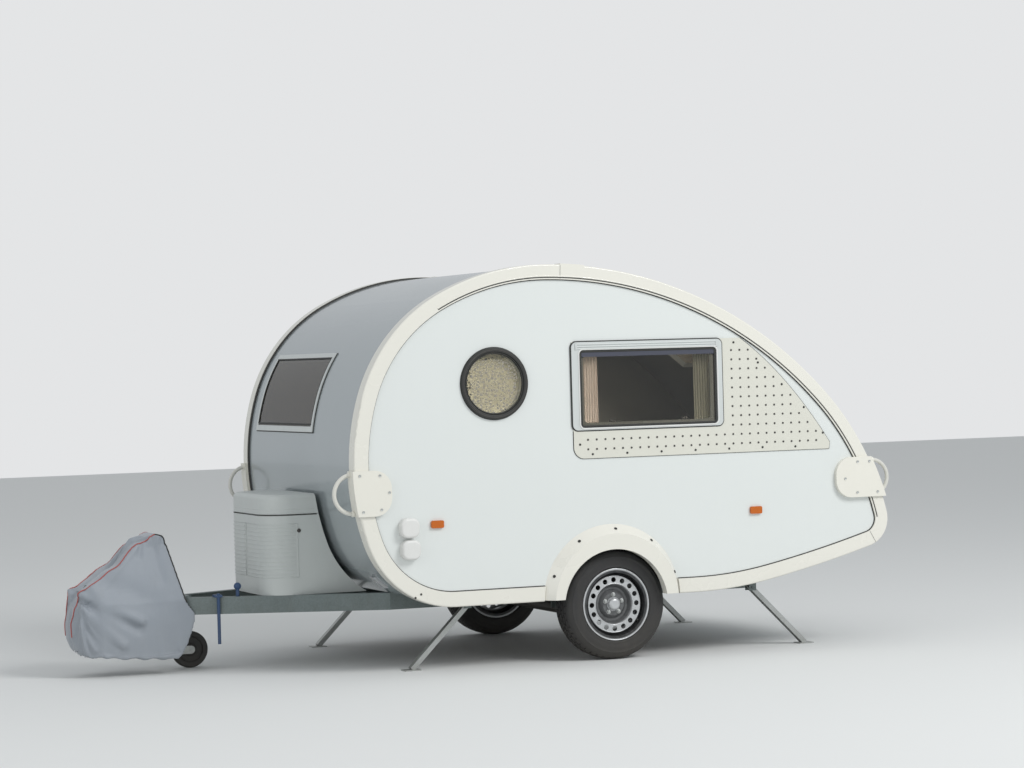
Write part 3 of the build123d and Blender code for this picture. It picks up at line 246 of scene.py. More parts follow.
def smooth(obj: Thing, angle: float) -> Thing:
    """Shades a piece smooth up to an angle in degrees."""
    focus(obj)
    bpy.ops.object.shade_smooth_by_angle(angle=math.radians(angle))
    return obj


def extruded(obj: Thing, move: Sequence[float]) -> Thing:
    """Pulls a flat outline into a solid."""
    with editing(obj, whole=True):
        bpy.ops.mesh.extrude_region_move(TRANSFORM_OT_translate={"value": tuple(move)})
    return cleaned(obj)


def turned(points: Sequence[Sequence[float]], centre: Sequence[float], steps: int) -> Thing:
    """Closed section spun once round a line along Y.

    Args:
        points: Corners of the section.
        centre: Point on the line.
        steps: Divisions of the turn.

    Returns:
        The turned solid.
    """
    obj = loop(points, filled=False)
    with editing(obj, "EDGE", whole=True):
        bpy.ops.mesh.spin(steps=steps, angle=math.tau, center=centre, axis=(0, 1, 0))
    return cleaned(obj)


def joined(pieces: Sequence[Thing]) -> Thing:
    """Joins several meshes into the first."""
    focus(pieces[0])
    for piece in pieces[1:]:
        piece.select_set(True)
    if len(pieces) > 1:
        bpy.ops.object.join()
    return bpy.context.object


def repeated(obj: Thing, places: Iterable[Matrix]) -> Thing:
    """Copies a piece to several places, each copy with its own mesh, and joins them.

    Args:
        obj: Piece modelled at the origin, which is used up.
        places: Where the copies go.

    Returns:
        The joined copies.
    """
    made = []
    for place in places:
        twin = obj.copy()
        twin.data = obj.data.copy()
        twin.data.transform(place)
        if place.determinant() < 0:
            twin.data.flip_normals()
        bpy.context.scene.collection.objects.link(twin)
        made.append(twin)
    bpy.data.objects.remove(obj)
    return joined(made)


def tube(points: Sequence[Sequence[float]], radius: float, sides: int, closed: bool = False) -> Thing:
    """Round cord or bead along a line of points.

    Args:
        points: Centre line.
        radius: Radius of the section.
        sides: Roundness of the section.
        closed: Whether the line returns to its start.

    Returns:
        The bead as a mesh.
    """
    bpy.ops.object.select_all(action="DESELECT")
    bpy.ops.curve.primitive_bezier_curve_add()
    line = bpy.context.object
    line.data.splines.clear()
    line.data.bevel_depth = radius
    line.data.bevel_resolution = sides
    line.data.use_fill_caps = not closed
    spline = line.data.splines.new("POLY")
    spline.points.add(len(points) - 1)
    for spot, point in zip(spline.points, points):
        spot.co = (*point, 1)
    spline.use_cyclic_u = closed
    focus(line)
    bpy.ops.object.convert(target="MESH")
    return cleaned(settled())


def merged_copy(node: str) -> Thing:
    """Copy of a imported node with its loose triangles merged."""
    twin = frame["nodes"][node].copy()
    twin.data = twin.data.copy()
    twin.data.materials.clear()
    for key in list(twin.keys()):
        if key.startswith("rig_"):
            del twin[key]
    bpy.context.scene.collection.objects.link(twin)
    return cleaned(twin)


def simulated(obj: Thing, frames: int, gravity: float, **settings: object) -> None:
    """Runs a cloth simulation on a piece, with pressure inside, and keeps its last frame.

    Args:
        obj: Piece that hangs or swells.
        frames: Length of the simulation.
        gravity: Share of gravity that acts on it.
        settings: The cloth's own settings.
    """
    focus(obj)
    cloth = obj.modifiers.new("Cloth", "CLOTH")
    cloth.settings.use_pressure = True
    cloth.settings.effector_weights.gravity = gravity
    for key, value in settings.items():
        setattr(cloth.settings, key, value)
    cloth.point_cache.frame_start = 1
    cloth.point_cache.frame_end = frames
    for number in range(1, frames + 1):
        bpy.context.scene.frame_set(number)
    bpy.ops.object.modifier_apply(modifier=cloth.name)
    bpy.context.scene.frame_set(1)


def kept_near(obj: Thing, rest: Sequence[Vector], limit: Callable[[Vector], float]) -> None:
    """Moves corners that went too far back towards their places at rest.

    Args:
        obj: Piece after its simulation.
        rest: Places of its corners before.
        limit: Gives the greatest distance for a place.
    """
    for vertex, home in zip(obj.data.vertices, rest):
        move = vertex.co - home
        most = limit(home)
        if move.length > most:
            vertex.co = home + move * (most / move.length)


def facing(point: Sequence[float], normal: Sequence[float]) -> Matrix:
    """Place of a copy whose Z axis follows a surface normal."""
    turn = Vector(normal).to_track_quat("Z", "Y").to_matrix().to_4x4()
    return Matrix.Translation(Vector(point)) @ turn


# Finishes
class Pattern(Enum):
    """Small-scale structure of a surface, and the painted shade of the wheel rims."""

    PEEL = "peel"
    SPANGLE = "spangle"
    WEAVE = "weave"
    GRAIN = "grain"
    PITTED = "pitted"
    BRUSHED = "brushed"
    RIBBED = "ribbed"
    BRAKE_DUST = "painted_well_shade"


class Surface(Enum):
    """How the shader treats light at a surface."""

    PLAIN = "plain"
    GLASS = "glass"
    LENS = "lens"
    CLOTH = "cloth"
    NET = "net"


class NodeSheet:
    """Node tree that grows one node at a time."""

    def __init__(self, tree: Tree) -> None:
        """Keeps the tree.

        Args:
            tree: A material's or a group's node tree.
        """
        self.tree = tree

    def add(self, kind: str, inputs: dict | None = None, **settings: object) -> Node:
        """Adds one node.

        Args:
            kind: Blender's type name, without ShaderNode.
            inputs: Values or sockets by input name or number.
            settings: The node's own properties.

        Returns:
            The new node.
        """
        node = self.tree.nodes.new(kind if kind.startswith("Node") else "ShaderNode" + kind)
        for key, value in settings.items():
            setattr(node, key, value)
        self.feed(node, inputs or {})
        return node

    def feed(self, node: Node, inputs: dict) -> None:
        """Sets a node's inputs to values, or links them to sockets."""
        for key, value in inputs.items():
            if isinstance(value, Socket):
                self.tree.links.new(value, node.inputs[key])
            else:
                node.inputs[key].default_value = value

    def maths(self, operation: str, first: object, second: object, clamp: bool = False) -> Socket:
        """Result of one Math node."""
        return self.add("Math", {0: first, 1: second}, operation=operation, use_clamp=clamp).outputs[0]

    def mixed(self, share: object, first: object, second: object) -> Socket:
        """Result of one colour Mix node."""
        return self.add("Mix", {0: share, 6: first, 7: second}, data_type="RGBA").outputs[2]

    def blend(self, first: object, weight: float, second: object, other: float) -> Socket:
        """Sum of two values, each times its weight."""
        return self.maths("ADD", self.maths("MULTIPLY", first, weight), self.maths("MULTIPLY", second, other))

    def noise(self, vector: object, scale: object, detail: float, rough: float = 0.55) -> Socket:
        """Value of one Noise node."""
        inputs = {"Vector": vector, "Scale": scale, "Detail": detail, "Roughness": rough}
        return self.add("TexNoise", inputs).outputs[0]


class Effects:
    """Shader node groups that several finishes share, each built once."""

    GRIME = "grime"
    made: dict[str, Tree] = {}

    @classmethod
    def group(cls, name: str) -> Tree:
        """The group of that name, built when it is first asked for."""
        if name not in cls.made:
            tree = bpy.data.node_groups.new(name, "ShaderNodeTree")
            cls.made[name] = tree
            if name == cls.GRIME:
                cls._grime(tree)
            else:
                cls._pattern(tree, getattr(cls, "_" + name))
        return cls.made[name]

    @staticmethod
    def _sheet(tree: Tree, inputs: dict[str, float], outputs: Sequence[str]) -> NodeSheet:
        """Gives a group its sockets and its input and output nodes."""
        tree.interface.new_socket("Vector", in_out="INPUT", socket_type="NodeSocketVector")
        for name, value in inputs.items():
            socket = tree.interface.new_socket(name, in_out="INPUT", socket_type="NodeSocketFloat")
            socket.default_value = value
        for name in outputs:
            tree.interface.new_socket(name, in_out="OUTPUT", socket_type="NodeSocketFloat")
        return NodeSheet(tree)

    @classmethod
    def _pattern(cls, tree: Tree, build: Callable[..., tuple]) -> None:
        """Lays out a pattern group with a shade and a height."""
        sheet = cls._sheet(tree, {"Scale": 100.0}, ("Shade", "Height"))
        source = sheet.add("NodeGroupInput")
        shade, height = build(sheet, source.outputs["Vector"], source.outputs["Scale"])
        sheet.add("NodeGroupOutput", {"Shade": shade, "Height": height})

    @staticmethod
    def _peel(sheet: NodeSheet, vector: object, scale: object) -> tuple:
        """Faint waves of sprayed paint."""
        fine = sheet.noise(vector, scale, 2)
        broad = sheet.noise(vector, 2.2, 4)
        return broad, fine

    @staticmethod
    def _spangle(sheet: NodeSheet, vector: object, scale: object) -> tuple:
        """Crystals of a galvanised coat, with weather stains."""
        cell = sheet.add("TexVoronoi", {"Vector": vector, "Scale": scale}).outputs["Color"]
        grey = sheet.add("RGBToBW", {0: cell}).outputs[0]
        stain = sheet.noise(vector, 14.0, 6, 0.65)
        return sheet.blend(grey, 0.35, stain, 0.7), sheet.noise(vector, scale, 4)

    @staticmethod
    def _weave(sheet: NodeSheet, vector: object, scale: object) -> tuple:
        """Plain weave of two crossing sets of threads."""
        threads = []
        for direction in ("X", "Z"):
            wave = sheet.add("TexWave", {"Vector": vector, "Scale": scale, "Distortion": 0.6, "Detail": 1.0},
                             bands_direction=direction)
            threads.append(wave.outputs["Fac"])
        height = sheet.maths("MULTIPLY", threads[0], threads[1])
        cloudy = sheet.noise(vector, 9.0, 5, 0.6)
        return sheet.blend(height, 0.3, cloudy, 0.7), height

    @staticmethod
    def _grain(sheet: NodeSheet, vector: object, scale: object) -> tuple:
        """Long grain of a laminate board."""
        long = sheet.add("Mapping", {"Vector": vector, "Scale": (0.12, 1.0, 1.6)}).outputs[0]
        grain = sheet.noise(long, scale, 6, 0.7)
        return grain, grain

    @staticmethod
    def _pitted(sheet: NodeSheet, vector: object, scale: object) -> tuple:
        """Fine pits and dull patches of rubber or grained plastic."""
        pits = sheet.add("TexVoronoi", {"Vector": vector, "Scale": scale}).outputs["Distance"]
        return sheet.noise(vector, 11.0, 5, 0.65), pits

    @staticmethod
    def _brushed(sheet: NodeSheet, vector: object, scale: object) -> tuple:
        """Fine lines of drawn or brushed metal."""
        drawn = sheet.add("Mapping", {"Vector": vector, "Scale": (0.05, 1.0, 1.0)}).outputs[0]
        line = sheet.noise(drawn, scale, 2)
        return sheet.blend(line, 0.5, sheet.noise(vector, 6.0, 4), 0.5), line

    @staticmethod
    def _ribbed(sheet: NodeSheet, vector: object, scale: object) -> tuple:
        """Upright flutes of a lamp lens."""
        wave = sheet.add("TexWave", {"Vector": vector, "Scale": scale}, bands_direction="X").outputs["Fac"]
        return wave, wave

    @staticmethod
    def _painted_well_shade(sheet: NodeSheet, vector: object, scale: object) -> tuple:
        """Painted shade in the rim's well and the hub's recess, by distance from the wheel axis."""
        apart = sheet.add("VectorMath", {0: vector, 1: (AXLE_X, 0, 0.298)}, operation="SUBTRACT").outputs[0]
        flat = sheet.add("VectorMath", {0: apart, 1: (1, 0, 1)}, operation="MULTIPLY").outputs[0]
        reach = sheet.add("VectorMath", {0: flat}, operation="LENGTH").outputs["Value"]
        total = sheet.maths("MULTIPLY", sheet.noise(vector, 30.0, 4, 0.6), 0.25)
        # Two bands of painted shade: the rim's well and the hub's recess.
        for begin, end, weight in ((0.153, 0.187, 0.85), (0.036, 0.108, 0.7)):
            rising = {"Value": reach, "From Min": begin - 0.002, "From Max": begin + 0.004}
            falling = {"Value": reach, "From Min": end - 0.004, "From Max": end + 0.002,
                       "To Min": 1.0, "To Max": 0.0}
            rise, fall = (sheet.add("MapRange", inputs).outputs[0] for inputs in (rising, falling))
            band = sheet.maths("MULTIPLY", sheet.maths("MULTIPLY", rise, fall), weight)
            total = sheet.maths("ADD", total, band, True)
        return total, sheet.noise(vector, scale, 3)

    @classmethod
    def _grime(cls, tree: Tree) -> None:
        """Road film that thins out upwards, rain streaks, and specks."""
        sheet = cls._sheet(tree, {"Reach": 1.0, "Streaks": 0.5}, ("Mask",))
        source = sheet.add("NodeGroupInput")
        vector = source.outputs["Vector"]
        height = sheet.add("SeparateXYZ", {0: vector}).outputs["Z"]
        low = sheet.maths("SUBTRACT", 1.0, sheet.maths("DIVIDE", height, source.outputs["Reach"]), True)
        low = sheet.maths("POWER", low, 2.2)
        drawn = sheet.add("Mapping", {"Vector": vector, "Scale": (1.0, 1.0, 0.07)}).outputs[0]
        streak = sheet.maths("SUBTRACT", sheet.noise(drawn, 26.0, 4, 0.6), 0.48, True)
        streak = sheet.maths("MULTIPLY", sheet.maths("MULTIPLY", streak, 3.0), source.outputs["Streaks"])
        patch = sheet.maths("MULTIPLY", sheet.noise(vector, 7.0, 6, 0.62), low)
        specks = sheet.maths("SUBTRACT", sheet.noise(vector, 140.0, 2), 0.68, True)
        specks = sheet.maths("MULTIPLY", specks, 1.6)
        total = sheet.maths("ADD", sheet.maths("ADD", patch, streak), specks, True)
        sheet.add("NodeGroupOutput", {"Mask": total})


@dataclass(frozen=True)
class Finish:
    """One surface finish, the marks that use has left on it, and on the wheel rims painted shade."""

    name: str
    colour: Colour
    tone: Colour
    rough: float
    pattern: Pattern = Pattern.PEEL
    scale: float = 60.0
    vary: float = 0.5
    bump: float = 0.1
    depth: float = 0.0004
    metal: float = 0.0
    coat: float = 0.0
    dirt: float = 0.3
    reach: float = 1.2
    streaks: float = 0.2
    soil: Colour = (0.16, 0.14, 0.1)
    surface: Surface = Surface.PLAIN

    def material(self) -> bpy.types.Material:
        """The material of this finish, made when it is first asked for.

        Returns:
            The material.
        """
        if self.name in bpy.data.materials:
            return bpy.data.materials[self.name]
        material = bpy.data.materials.new(self.name)
        material.use_nodes = True
        sheet = NodeSheet(material.node_tree)
        shader = material.node_tree.nodes["Principled BSDF"]
        where = sheet.add("TexCoord").outputs["Object"]
        pattern = sheet.add("Group", {"Vector": where, "Scale": self.scale},
                            node_tree=Effects.group(self.pattern.value))
        grime = sheet.add("Group", {"Vector": where, "Reach": self.reach, "Streaks": self.streaks},
                          node_tree=Effects.group(Effects.GRIME))
        share = sheet.maths("MULTIPLY", pattern.outputs["Shade"], self.vary, True)
        soiled = sheet.maths("MULTIPLY", grime.outputs["Mask"], self.dirt, True)
        tint = sheet.mixed(share, (*self.colour, 1), (*self.tone, 1))
        tint = sheet.mixed(soiled, tint, (*self.soil, 1))
        rough = sheet.maths("ADD", sheet.maths("MULTIPLY", share, 0.12), self.rough)
        rough = sheet.maths("ADD", rough, sheet.maths("MULTIPLY", soiled, 0.35), True)
        height = pattern.outputs["Height"]
        bump = sheet.add("Bump", {"Strength": self.bump, "Distance": self.depth, "Height": height}).outputs[0]
        sheet.feed(shader, {"Base Color": tint, "Roughness": rough, "Normal": bump, "Metallic": self.metal,
                            "Coat Weight": self.coat, "Coat Roughness": 0.06})
        if self.surface is not Surface.PLAIN:
            getattr(self, "_" + self.surface.value)(sheet, shader)
        return material

    def _glass(self, sheet: NodeSheet, shader: Node) -> None:
        """Clear pane that lets light through to what is behind it."""
        sheet.feed(shader, {"Transmission Weight": 1.0, "IOR": 1.45})
        self._let_light_through(sheet, shader)

    def _lens(self, sheet: NodeSheet, shader: Node) -> None:
        """Coloured plastic lens with some light in it."""
        sheet.feed(shader, {"Transmission Weight": 0.35, "IOR": 1.49})

    def _cloth(self, sheet: NodeSheet, shader: Node) -> None:
        """Cloth with a soft sheen."""
        sheet.feed(shader, {"Sheen Weight": 0.25, "Sheen Roughness": 0.5})

    def _net(self, sheet: NodeSheet, shader: Node) -> None:
        """Open net, with holes between its threads."""
        where = sheet.add("TexCoord").outputs["Object"]
        cells = sheet.add("TexVoronoi", {"Vector": where, "Scale": 62.0, "Randomness": 0.8},
                          feature="DISTANCE_TO_EDGE")
        solid = sheet.maths("LESS_THAN", cells.outputs["Distance"], 0.15)
        sheet.feed(shader, {"Alpha": solid})

    @staticmethod
    def _let_light_through(sheet: NodeSheet, shader: Node) -> None:
        """Shadow rays pass a pane, so that the cabin behind it is lit."""
        shadow = sheet.add("LightPath").outputs["Is Shadow Ray"]
        clear = sheet.add("BsdfTransparent", {"Color": (0.72, 0.7, 0.66, 1)}).outputs[0]
        mix = sheet.add("MixShader", {0: shadow, 1: shader.outputs[0], 2: clear}).outputs[0]
        sheet.feed(sheet.tree.nodes["Material Output"], {"Surface": mix})


SIDE_PAINT = Finish("side_paint", (0.745, 0.775, 0.755), (0.71, 0.745, 0.73), 0.16, coat=0.5, scale=900,
                    bump=0.04, dirt=0.12, streaks=0.05)
WRAP_PAINT = Finish("wrap_paint", (0.38, 0.425, 0.44), (0.34, 0.38, 0.395), 0.2, coat=0.6, metal=0.3,
                    scale=900, bump=0.05, dirt=0.15, streaks=0.1)
IVORY = Finish("ivory_moulding", (0.80, 0.785, 0.715), (0.75, 0.735, 0.655), 0.24, scale=500, bump=0.08,
               coat=0.4, dirt=0.14, reach=0.9, streaks=0.03)
IVORY_PLATE = Finish("ivory_plate", (0.80, 0.785, 0.71), (0.75, 0.73, 0.65), 0.3, Pattern.PITTED, 700,
                     bump=0.1, dirt=0.14, streaks=0.05)
DIMPLE_SHEET = Finish("dimpled_sheet", (0.70, 0.695, 0.62), (0.64, 0.635, 0.56), 0.34, Pattern.PITTED, 800,
                      bump=0.1, dirt=0.15, streaks=0.08)
FRAME_GREY = Finish("frame_grey", (0.62, 0.65, 0.64), (0.55, 0.58, 0.57), 0.32, Pattern.BRUSHED, 260,
                    bump=0.08, dirt=0.3)
LOCKER_GREY = Finish("locker_grey", (0.55, 0.58, 0.565), (0.50, 0.53, 0.515), 0.36, Pattern.PITTED, 500,
                     bump=0.15, dirt=0.2, reach=0.8, streaks=0.08)
CAP_WHITE = Finish("cap_white", (0.76, 0.76, 0.74), (0.7, 0.7, 0.67), 0.35, Pattern.PITTED, 600, bump=0.1)
SEAL_BLACK = Finish("seal_rubber", (0.018, 0.019, 0.018), (0.05, 0.05, 0.045), 0.55, Pattern.PITTED, 500,
                    bump=0.25, dirt=0.25)
RUBBER = Finish("tyre_rubber", (0.022, 0.022, 0.023), (0.045, 0.043, 0.041), 0.6, Pattern.PITTED, 350,
                bump=0.2, dirt=0.3, reach=0.5)
BLACK_PLASTIC = Finish("black_plastic", (0.03, 0.03, 0.03), (0.06, 0.06, 0.055), 0.5, Pattern.PITTED, 450,
                       bump=0.3, dirt=0.45, reach=0.8)
# The rim's dark tone is painted shade, laid into its well and the hub's recess by its pattern.
RIM_SILVER = Finish("rim_silver", (0.64, 0.655, 0.665), (0.035, 0.037, 0.04), 0.3, Pattern.BRAKE_DUST, 300,
                    vary=1.0, bump=0.1, metal=0.45, dirt=0.25, reach=0.6)
# Brighter copy of the rim's silver for the rolled lips: painted highlight on real edges.
RIM_LIP_HIGHLIGHT = Finish("rim_lip", (0.70, 0.71, 0.72), (0.6, 0.61, 0.62), 0.25, metal=0.5, scale=300, bump=0.08,
                 dirt=0.15, reach=0.5)
GALVANISED = Finish("galvanised_steel", (0.23, 0.27, 0.27), (0.11, 0.14, 0.14), 0.46, Pattern.SPANGLE, 130,
                    0.8, 0.3, metal=0.55, dirt=0.5, reach=0.9)
ZINC = Finish("zinc_plate", (0.56, 0.58, 0.57), (0.36, 0.37, 0.36), 0.34, Pattern.SPANGLE, 160, 0.7, 0.2,
              metal=0.8, dirt=0.4, reach=0.6)
DARK_STEEL = Finish("dark_steel", (0.07, 0.072, 0.075), (0.13, 0.11, 0.09), 0.5, Pattern.SPANGLE, 120, 0.6,
                    0.3, metal=0.6, dirt=0.5)
HANDLE_COAT = Finish("handle_coat", (0.68, 0.675, 0.62), (0.6, 0.59, 0.54), 0.3, Pattern.PITTED, 800,
                     bump=0.1, coat=0.3)
SMOKED_PANE = Finish("smoked_pane", (0.62, 0.6, 0.55), (0.6, 0.58, 0.53), 0.02, scale=30, vary=0.2,
                     bump=0.02, dirt=0.03, surface=Surface.GLASS)
DARK_PANE = Finish("dark_pane", (0.16, 0.13, 0.09), (0.15, 0.12, 0.085), 0.03, scale=30, vary=0.2,
                   bump=0.02, dirt=0.03, surface=Surface.GLASS)
AMBER = Finish("amber_lens", (0.85, 0.2, 0.012), (0.75, 0.15, 0.01), 0.16, Pattern.RIBBED, 90, bump=0.3,
               dirt=0.08, surface=Surface.LENS)
RED_LENS = Finish("red_lens", (0.55, 0.015, 0.012), (0.45, 0.01, 0.01), 0.14, Pattern.RIBBED, 70, bump=0.3,
                  dirt=0.08, surface=Surface.LENS)
CLEAR_LENS = Finish("clear_lens", (0.72, 0.73, 0.74), (0.62, 0.63, 0.64), 0.14, Pattern.RIBBED, 70,
                    bump=0.3, dirt=0.1, surface=Surface.LENS)
# The hood cloth is set darker than its own light grey, partly as painted shade.
HOOD_CLOTH = Finish("hood_cloth", (0.27, 0.30, 0.34), (0.35, 0.38, 0.41), 0.5, Pattern.WEAVE, 900, 0.6,
                    0.25, dirt=0.3, reach=0.5, surface=Surface.CLOTH)
RED_PIPING = Finish("red_piping", (0.36, 0.05, 0.045), (0.42, 0.2, 0.17), 0.55, Pattern.WEAVE, 1500, 0.5,
                    0.3, dirt=0.2, surface=Surface.CLOTH)
CURTAIN_ROSE = Finish("curtain_rose", (0.86, 0.75, 0.69), (0.78, 0.66, 0.6), 0.8, Pattern.WEAVE, 1200, 0.5,
                      0.2, dirt=0.0, surface=Surface.CLOTH)
CURTAIN_SAGE = Finish("curtain_sage", (0.30, 0.30, 0.24), (0.25, 0.25, 0.2), 0.8, Pattern.WEAVE, 1200, 0.5,
                      0.2, dirt=0.0, surface=Surface.CLOTH)
NET_CREAM = Finish("net_cream", (0.92, 0.89, 0.72), (0.8, 0.77, 0.6), 0.8, Pattern.WEAVE, 900, 0.6, 0.3,
                   dirt=0.0, surface=Surface.NET)
# The bed cloth is darkened to about half its own colour as painted shade of the closed cabin.
BED_CLOTH = Finish("bed_cloth", (0.2, 0.21, 0.2), (0.16, 0.17, 0.165), 0.85, Pattern.WEAVE, 700, 0.6, 0.3,
                   dirt=0.0, surface=Surface.CLOTH)
# The cabinet board is darkened to about half its own colour as painted shade of the closed cabin.
CABINET = Finish("cabinet_board", (0.20, 0.135, 0.08), (0.14, 0.095, 0.055), 0.45, Pattern.GRAIN, 40, 0.8,
                 0.1, dirt=0.0)
BLIND_GREY = Finish("blind_grey", (0.055, 0.06, 0.085), (0.07, 0.075, 0.1), 0.4, scale=200, dirt=0.1)
FLOOR_BOARD = Finish("floor_board", (0.09, 0.075, 0.06), (0.15, 0.12, 0.09), 0.6, Pattern.GRAIN, 30, 0.8,
                     0.2, dirt=0.5)
BLUE_PAINT = Finish("blue_paint", (0.02, 0.06, 0.16), (0.04, 0.08, 0.15), 0.4, Pattern.PITTED, 300,
                    bump=0.2, dirt=0.5, reach=0.7)
HATCH_MILK = Finish("hatch_milk", (0.66, 0.68, 0.68), (0.6, 0.62, 0.62), 0.25, Pattern.PITTED, 400,
                    bump=0.08, coat=0.2, dirt=0.3)

FINISHED_PARTS: tuple = (
    (SIDE_PAINT, "side_wall_left side_wall_right entrance_door"),
    (WRAP_PAINT, "front_shell roof_rear_shell"),
    (FLOOR_BOARD, "floor_panel"),
    (BLACK_PLASTIC, "wheel_boxes number_plate_holder"),
    (IVORY, "edge_trims wheel_arches"),
    (IVORY_PLATE, "corner_plates"),
    (HANDLE_COAT, "grab_handles"),
    (FRAME_GREY, "side_window_frames end_window_frames door_hinges"),
    (SMOKED_PANE, "side_window_panes door_porthole_glass"),
    (DARK_PANE, "end_window_panes"),
    (SEAL_BLACK, "porthole_rim door_porthole_rim"),
    (DIMPLE_SHEET, "dimple_panels"),
    (CAP_WHITE, "flue_caps door_latch"),
    (AMBER, "side_markers"),
    (CLEAR_LENS, "front_reflectors"),
    (RED_LENS, "rear_lamps"),
    (HATCH_MILK, "roof_hatch_frame roof_hatch_lid"),
    (LOCKER_GREY, "gas_locker_box gas_locker_lid"),
    (GALVANISED, "chassis_frame overrun_unit coupling_head"),
    (DARK_STEEL, "axle_assembly"),
    (HOOD_CLOTH, "coupling_cover"),
    (RUBBER, "tyre_left tyre_right jockey_wheel"),
    (RIM_SILVER, "wheel_left wheel_right"),
    (ZINC, "jockey_outer_tube jockey_inner_tube jockey_fork"),
    (ZINC, "steady_front_left steady_front_right steady_rear_left steady_rear_right"),
    (BLUE_PAINT, "drawbar_fittings"),
    (CABINET, "cabin_furniture"),
    (BED_CLOTH, "mattress"),
    (CURTAIN_ROSE, "curtains"),
)
PART_FINISHES = {name: finish for finish, names in FINISHED_PARTS for name in names.split()}


def dressed(obj: Thing, name: str, finish: Finish, body: str = BODY,
            angle: float | None = None) -> Thing:
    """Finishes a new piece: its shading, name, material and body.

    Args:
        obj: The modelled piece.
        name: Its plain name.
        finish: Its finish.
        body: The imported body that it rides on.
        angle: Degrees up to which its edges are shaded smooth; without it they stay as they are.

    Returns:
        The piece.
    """
    if angle is not None:
        smooth(obj, angle)
    obj.name = name
    obj.data.name = name
    obj.data.materials.clear()
    obj.data.materials.append(finish.material())
    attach(obj, body)
    LOG.info("%s: %d faces on %s", name, len(obj.data.polygons), body)
    return obj


def dress_parts() -> None:
    """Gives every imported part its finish."""
    for name, node in frame["nodes"].items():
        material = PART_FINISHES[name].material()
        for number in range(len(node.data.materials)):
            node.data.materials[number] = material
        if not node.data.materials:
            node.data.materials.append(material)


@dataclass(frozen=True)
class Studio:
    """Camera, lights, floor and backdrop."""

    eye: Point = (5.8625, 15.155, 1.629)
    yaw: float = 22.336
    pitch: float = -0.457
    roll: float = -1.580
    lens: float = 101.355
    floor_half: float = 30.0
    lamps: tuple = (("key", (-5.5, 9.5, 9.0), 5.0, 860.0), ("fill", (9.0, 5.0, 4.0), 6.0, 130.0))
    aim: Point = (0.0, 0.0, 1.0)

    def build(self) -> None:
        """Places everything that isn't the caravan."""
        self._camera()
        self._floor()
        self._lights()
        self._world()

    def _camera(self) -> None:
        """Camera at the photograph's place and angle."""
        yaw, pitch, roll = (math.radians(a) for a in (self.yaw, self.pitch, self.roll))
        ahead = Vector((-math.sin(yaw) * math.cos(pitch), -math.cos(yaw) * math.cos(pitch), math.sin(pitch)))
        right0 = Vector((-math.cos(yaw), math.sin(yaw), 0))
        up0 = right0.cross(ahead)
        right = math.cos(roll) * right0 + math.sin(roll) * up0
        up = -math.sin(roll) * right0 + math.cos(roll) * up0
        turn = Matrix((right, up, -ahead)).transposed().to_4x4()
        data = bpy.data.cameras.new("camera")
        data.sensor_width = 36
        data.lens = self.lens
        data.clip_end = 200
        camera = bpy.data.objects.new("camera", data)
        camera.matrix_world = Matrix.Translation(self.eye) @ turn
        bpy.context.scene.collection.objects.link(camera)
        bpy.context.scene.camera = camera

    def _floor(self) -> None:
        """Plain pale floor."""
        bpy.ops.object.select_all(action="DESELECT")
        bpy.ops.mesh.primitive_plane_add(size=2 * self.floor_half)
        floor = settled()
        floor.name = "floor"
        material = bpy.data.materials.new("studio_floor")
        material.use_nodes = True
        NodeSheet(material.node_tree).feed(material.node_tree.nodes["Principled BSDF"],
                                           {"Base Color": (0.74, 0.75, 0.74, 1), "Roughness": 0.85})
        floor.data.materials.append(material)

    def _lights(self) -> None:
        """Large soft key light high on the picture's right, and a weak fill on its left."""
        for name, place, size, power in self.lamps:
            data = bpy.data.lights.new(name, "AREA")
            data.size = size
            data.energy = power
            lamp = bpy.data.objects.new(name, data)
            lamp.location = place
            lamp.rotation_euler = (Vector(self.aim) - Vector(place)).to_track_quat("-Z", "Y").to_euler()
            bpy.context.scene.collection.objects.link(lamp)

    def _world(self) -> None:
        """Even sky, paler to the camera and through panes."""
        world = bpy.data.worlds.new("studio")
        world.use_nodes = True
        sheet = NodeSheet(world.node_tree)
        path = sheet.add("LightPath")
        seen = sheet.maths("MAXIMUM", path.outputs["Is Camera Ray"], path.outputs["Is Transmission Ray"])
        sky = sheet.mixed(seen, (0.62, 0.64, 0.66, 1), (0.86, 0.87, 0.88, 1))
        sheet.feed(world.node_tree.nodes["Background"], {"Color": sky, "Strength": 0.9})
        bpy.context.scene.world = world
        bpy.context.scene.view_settings.view_transform = "Standard"


@dataclass(frozen=True)
class Arc:
    """Part of the body's side outline."""

    x: float
    z: float
    radius: float
    start: float
    turn: float


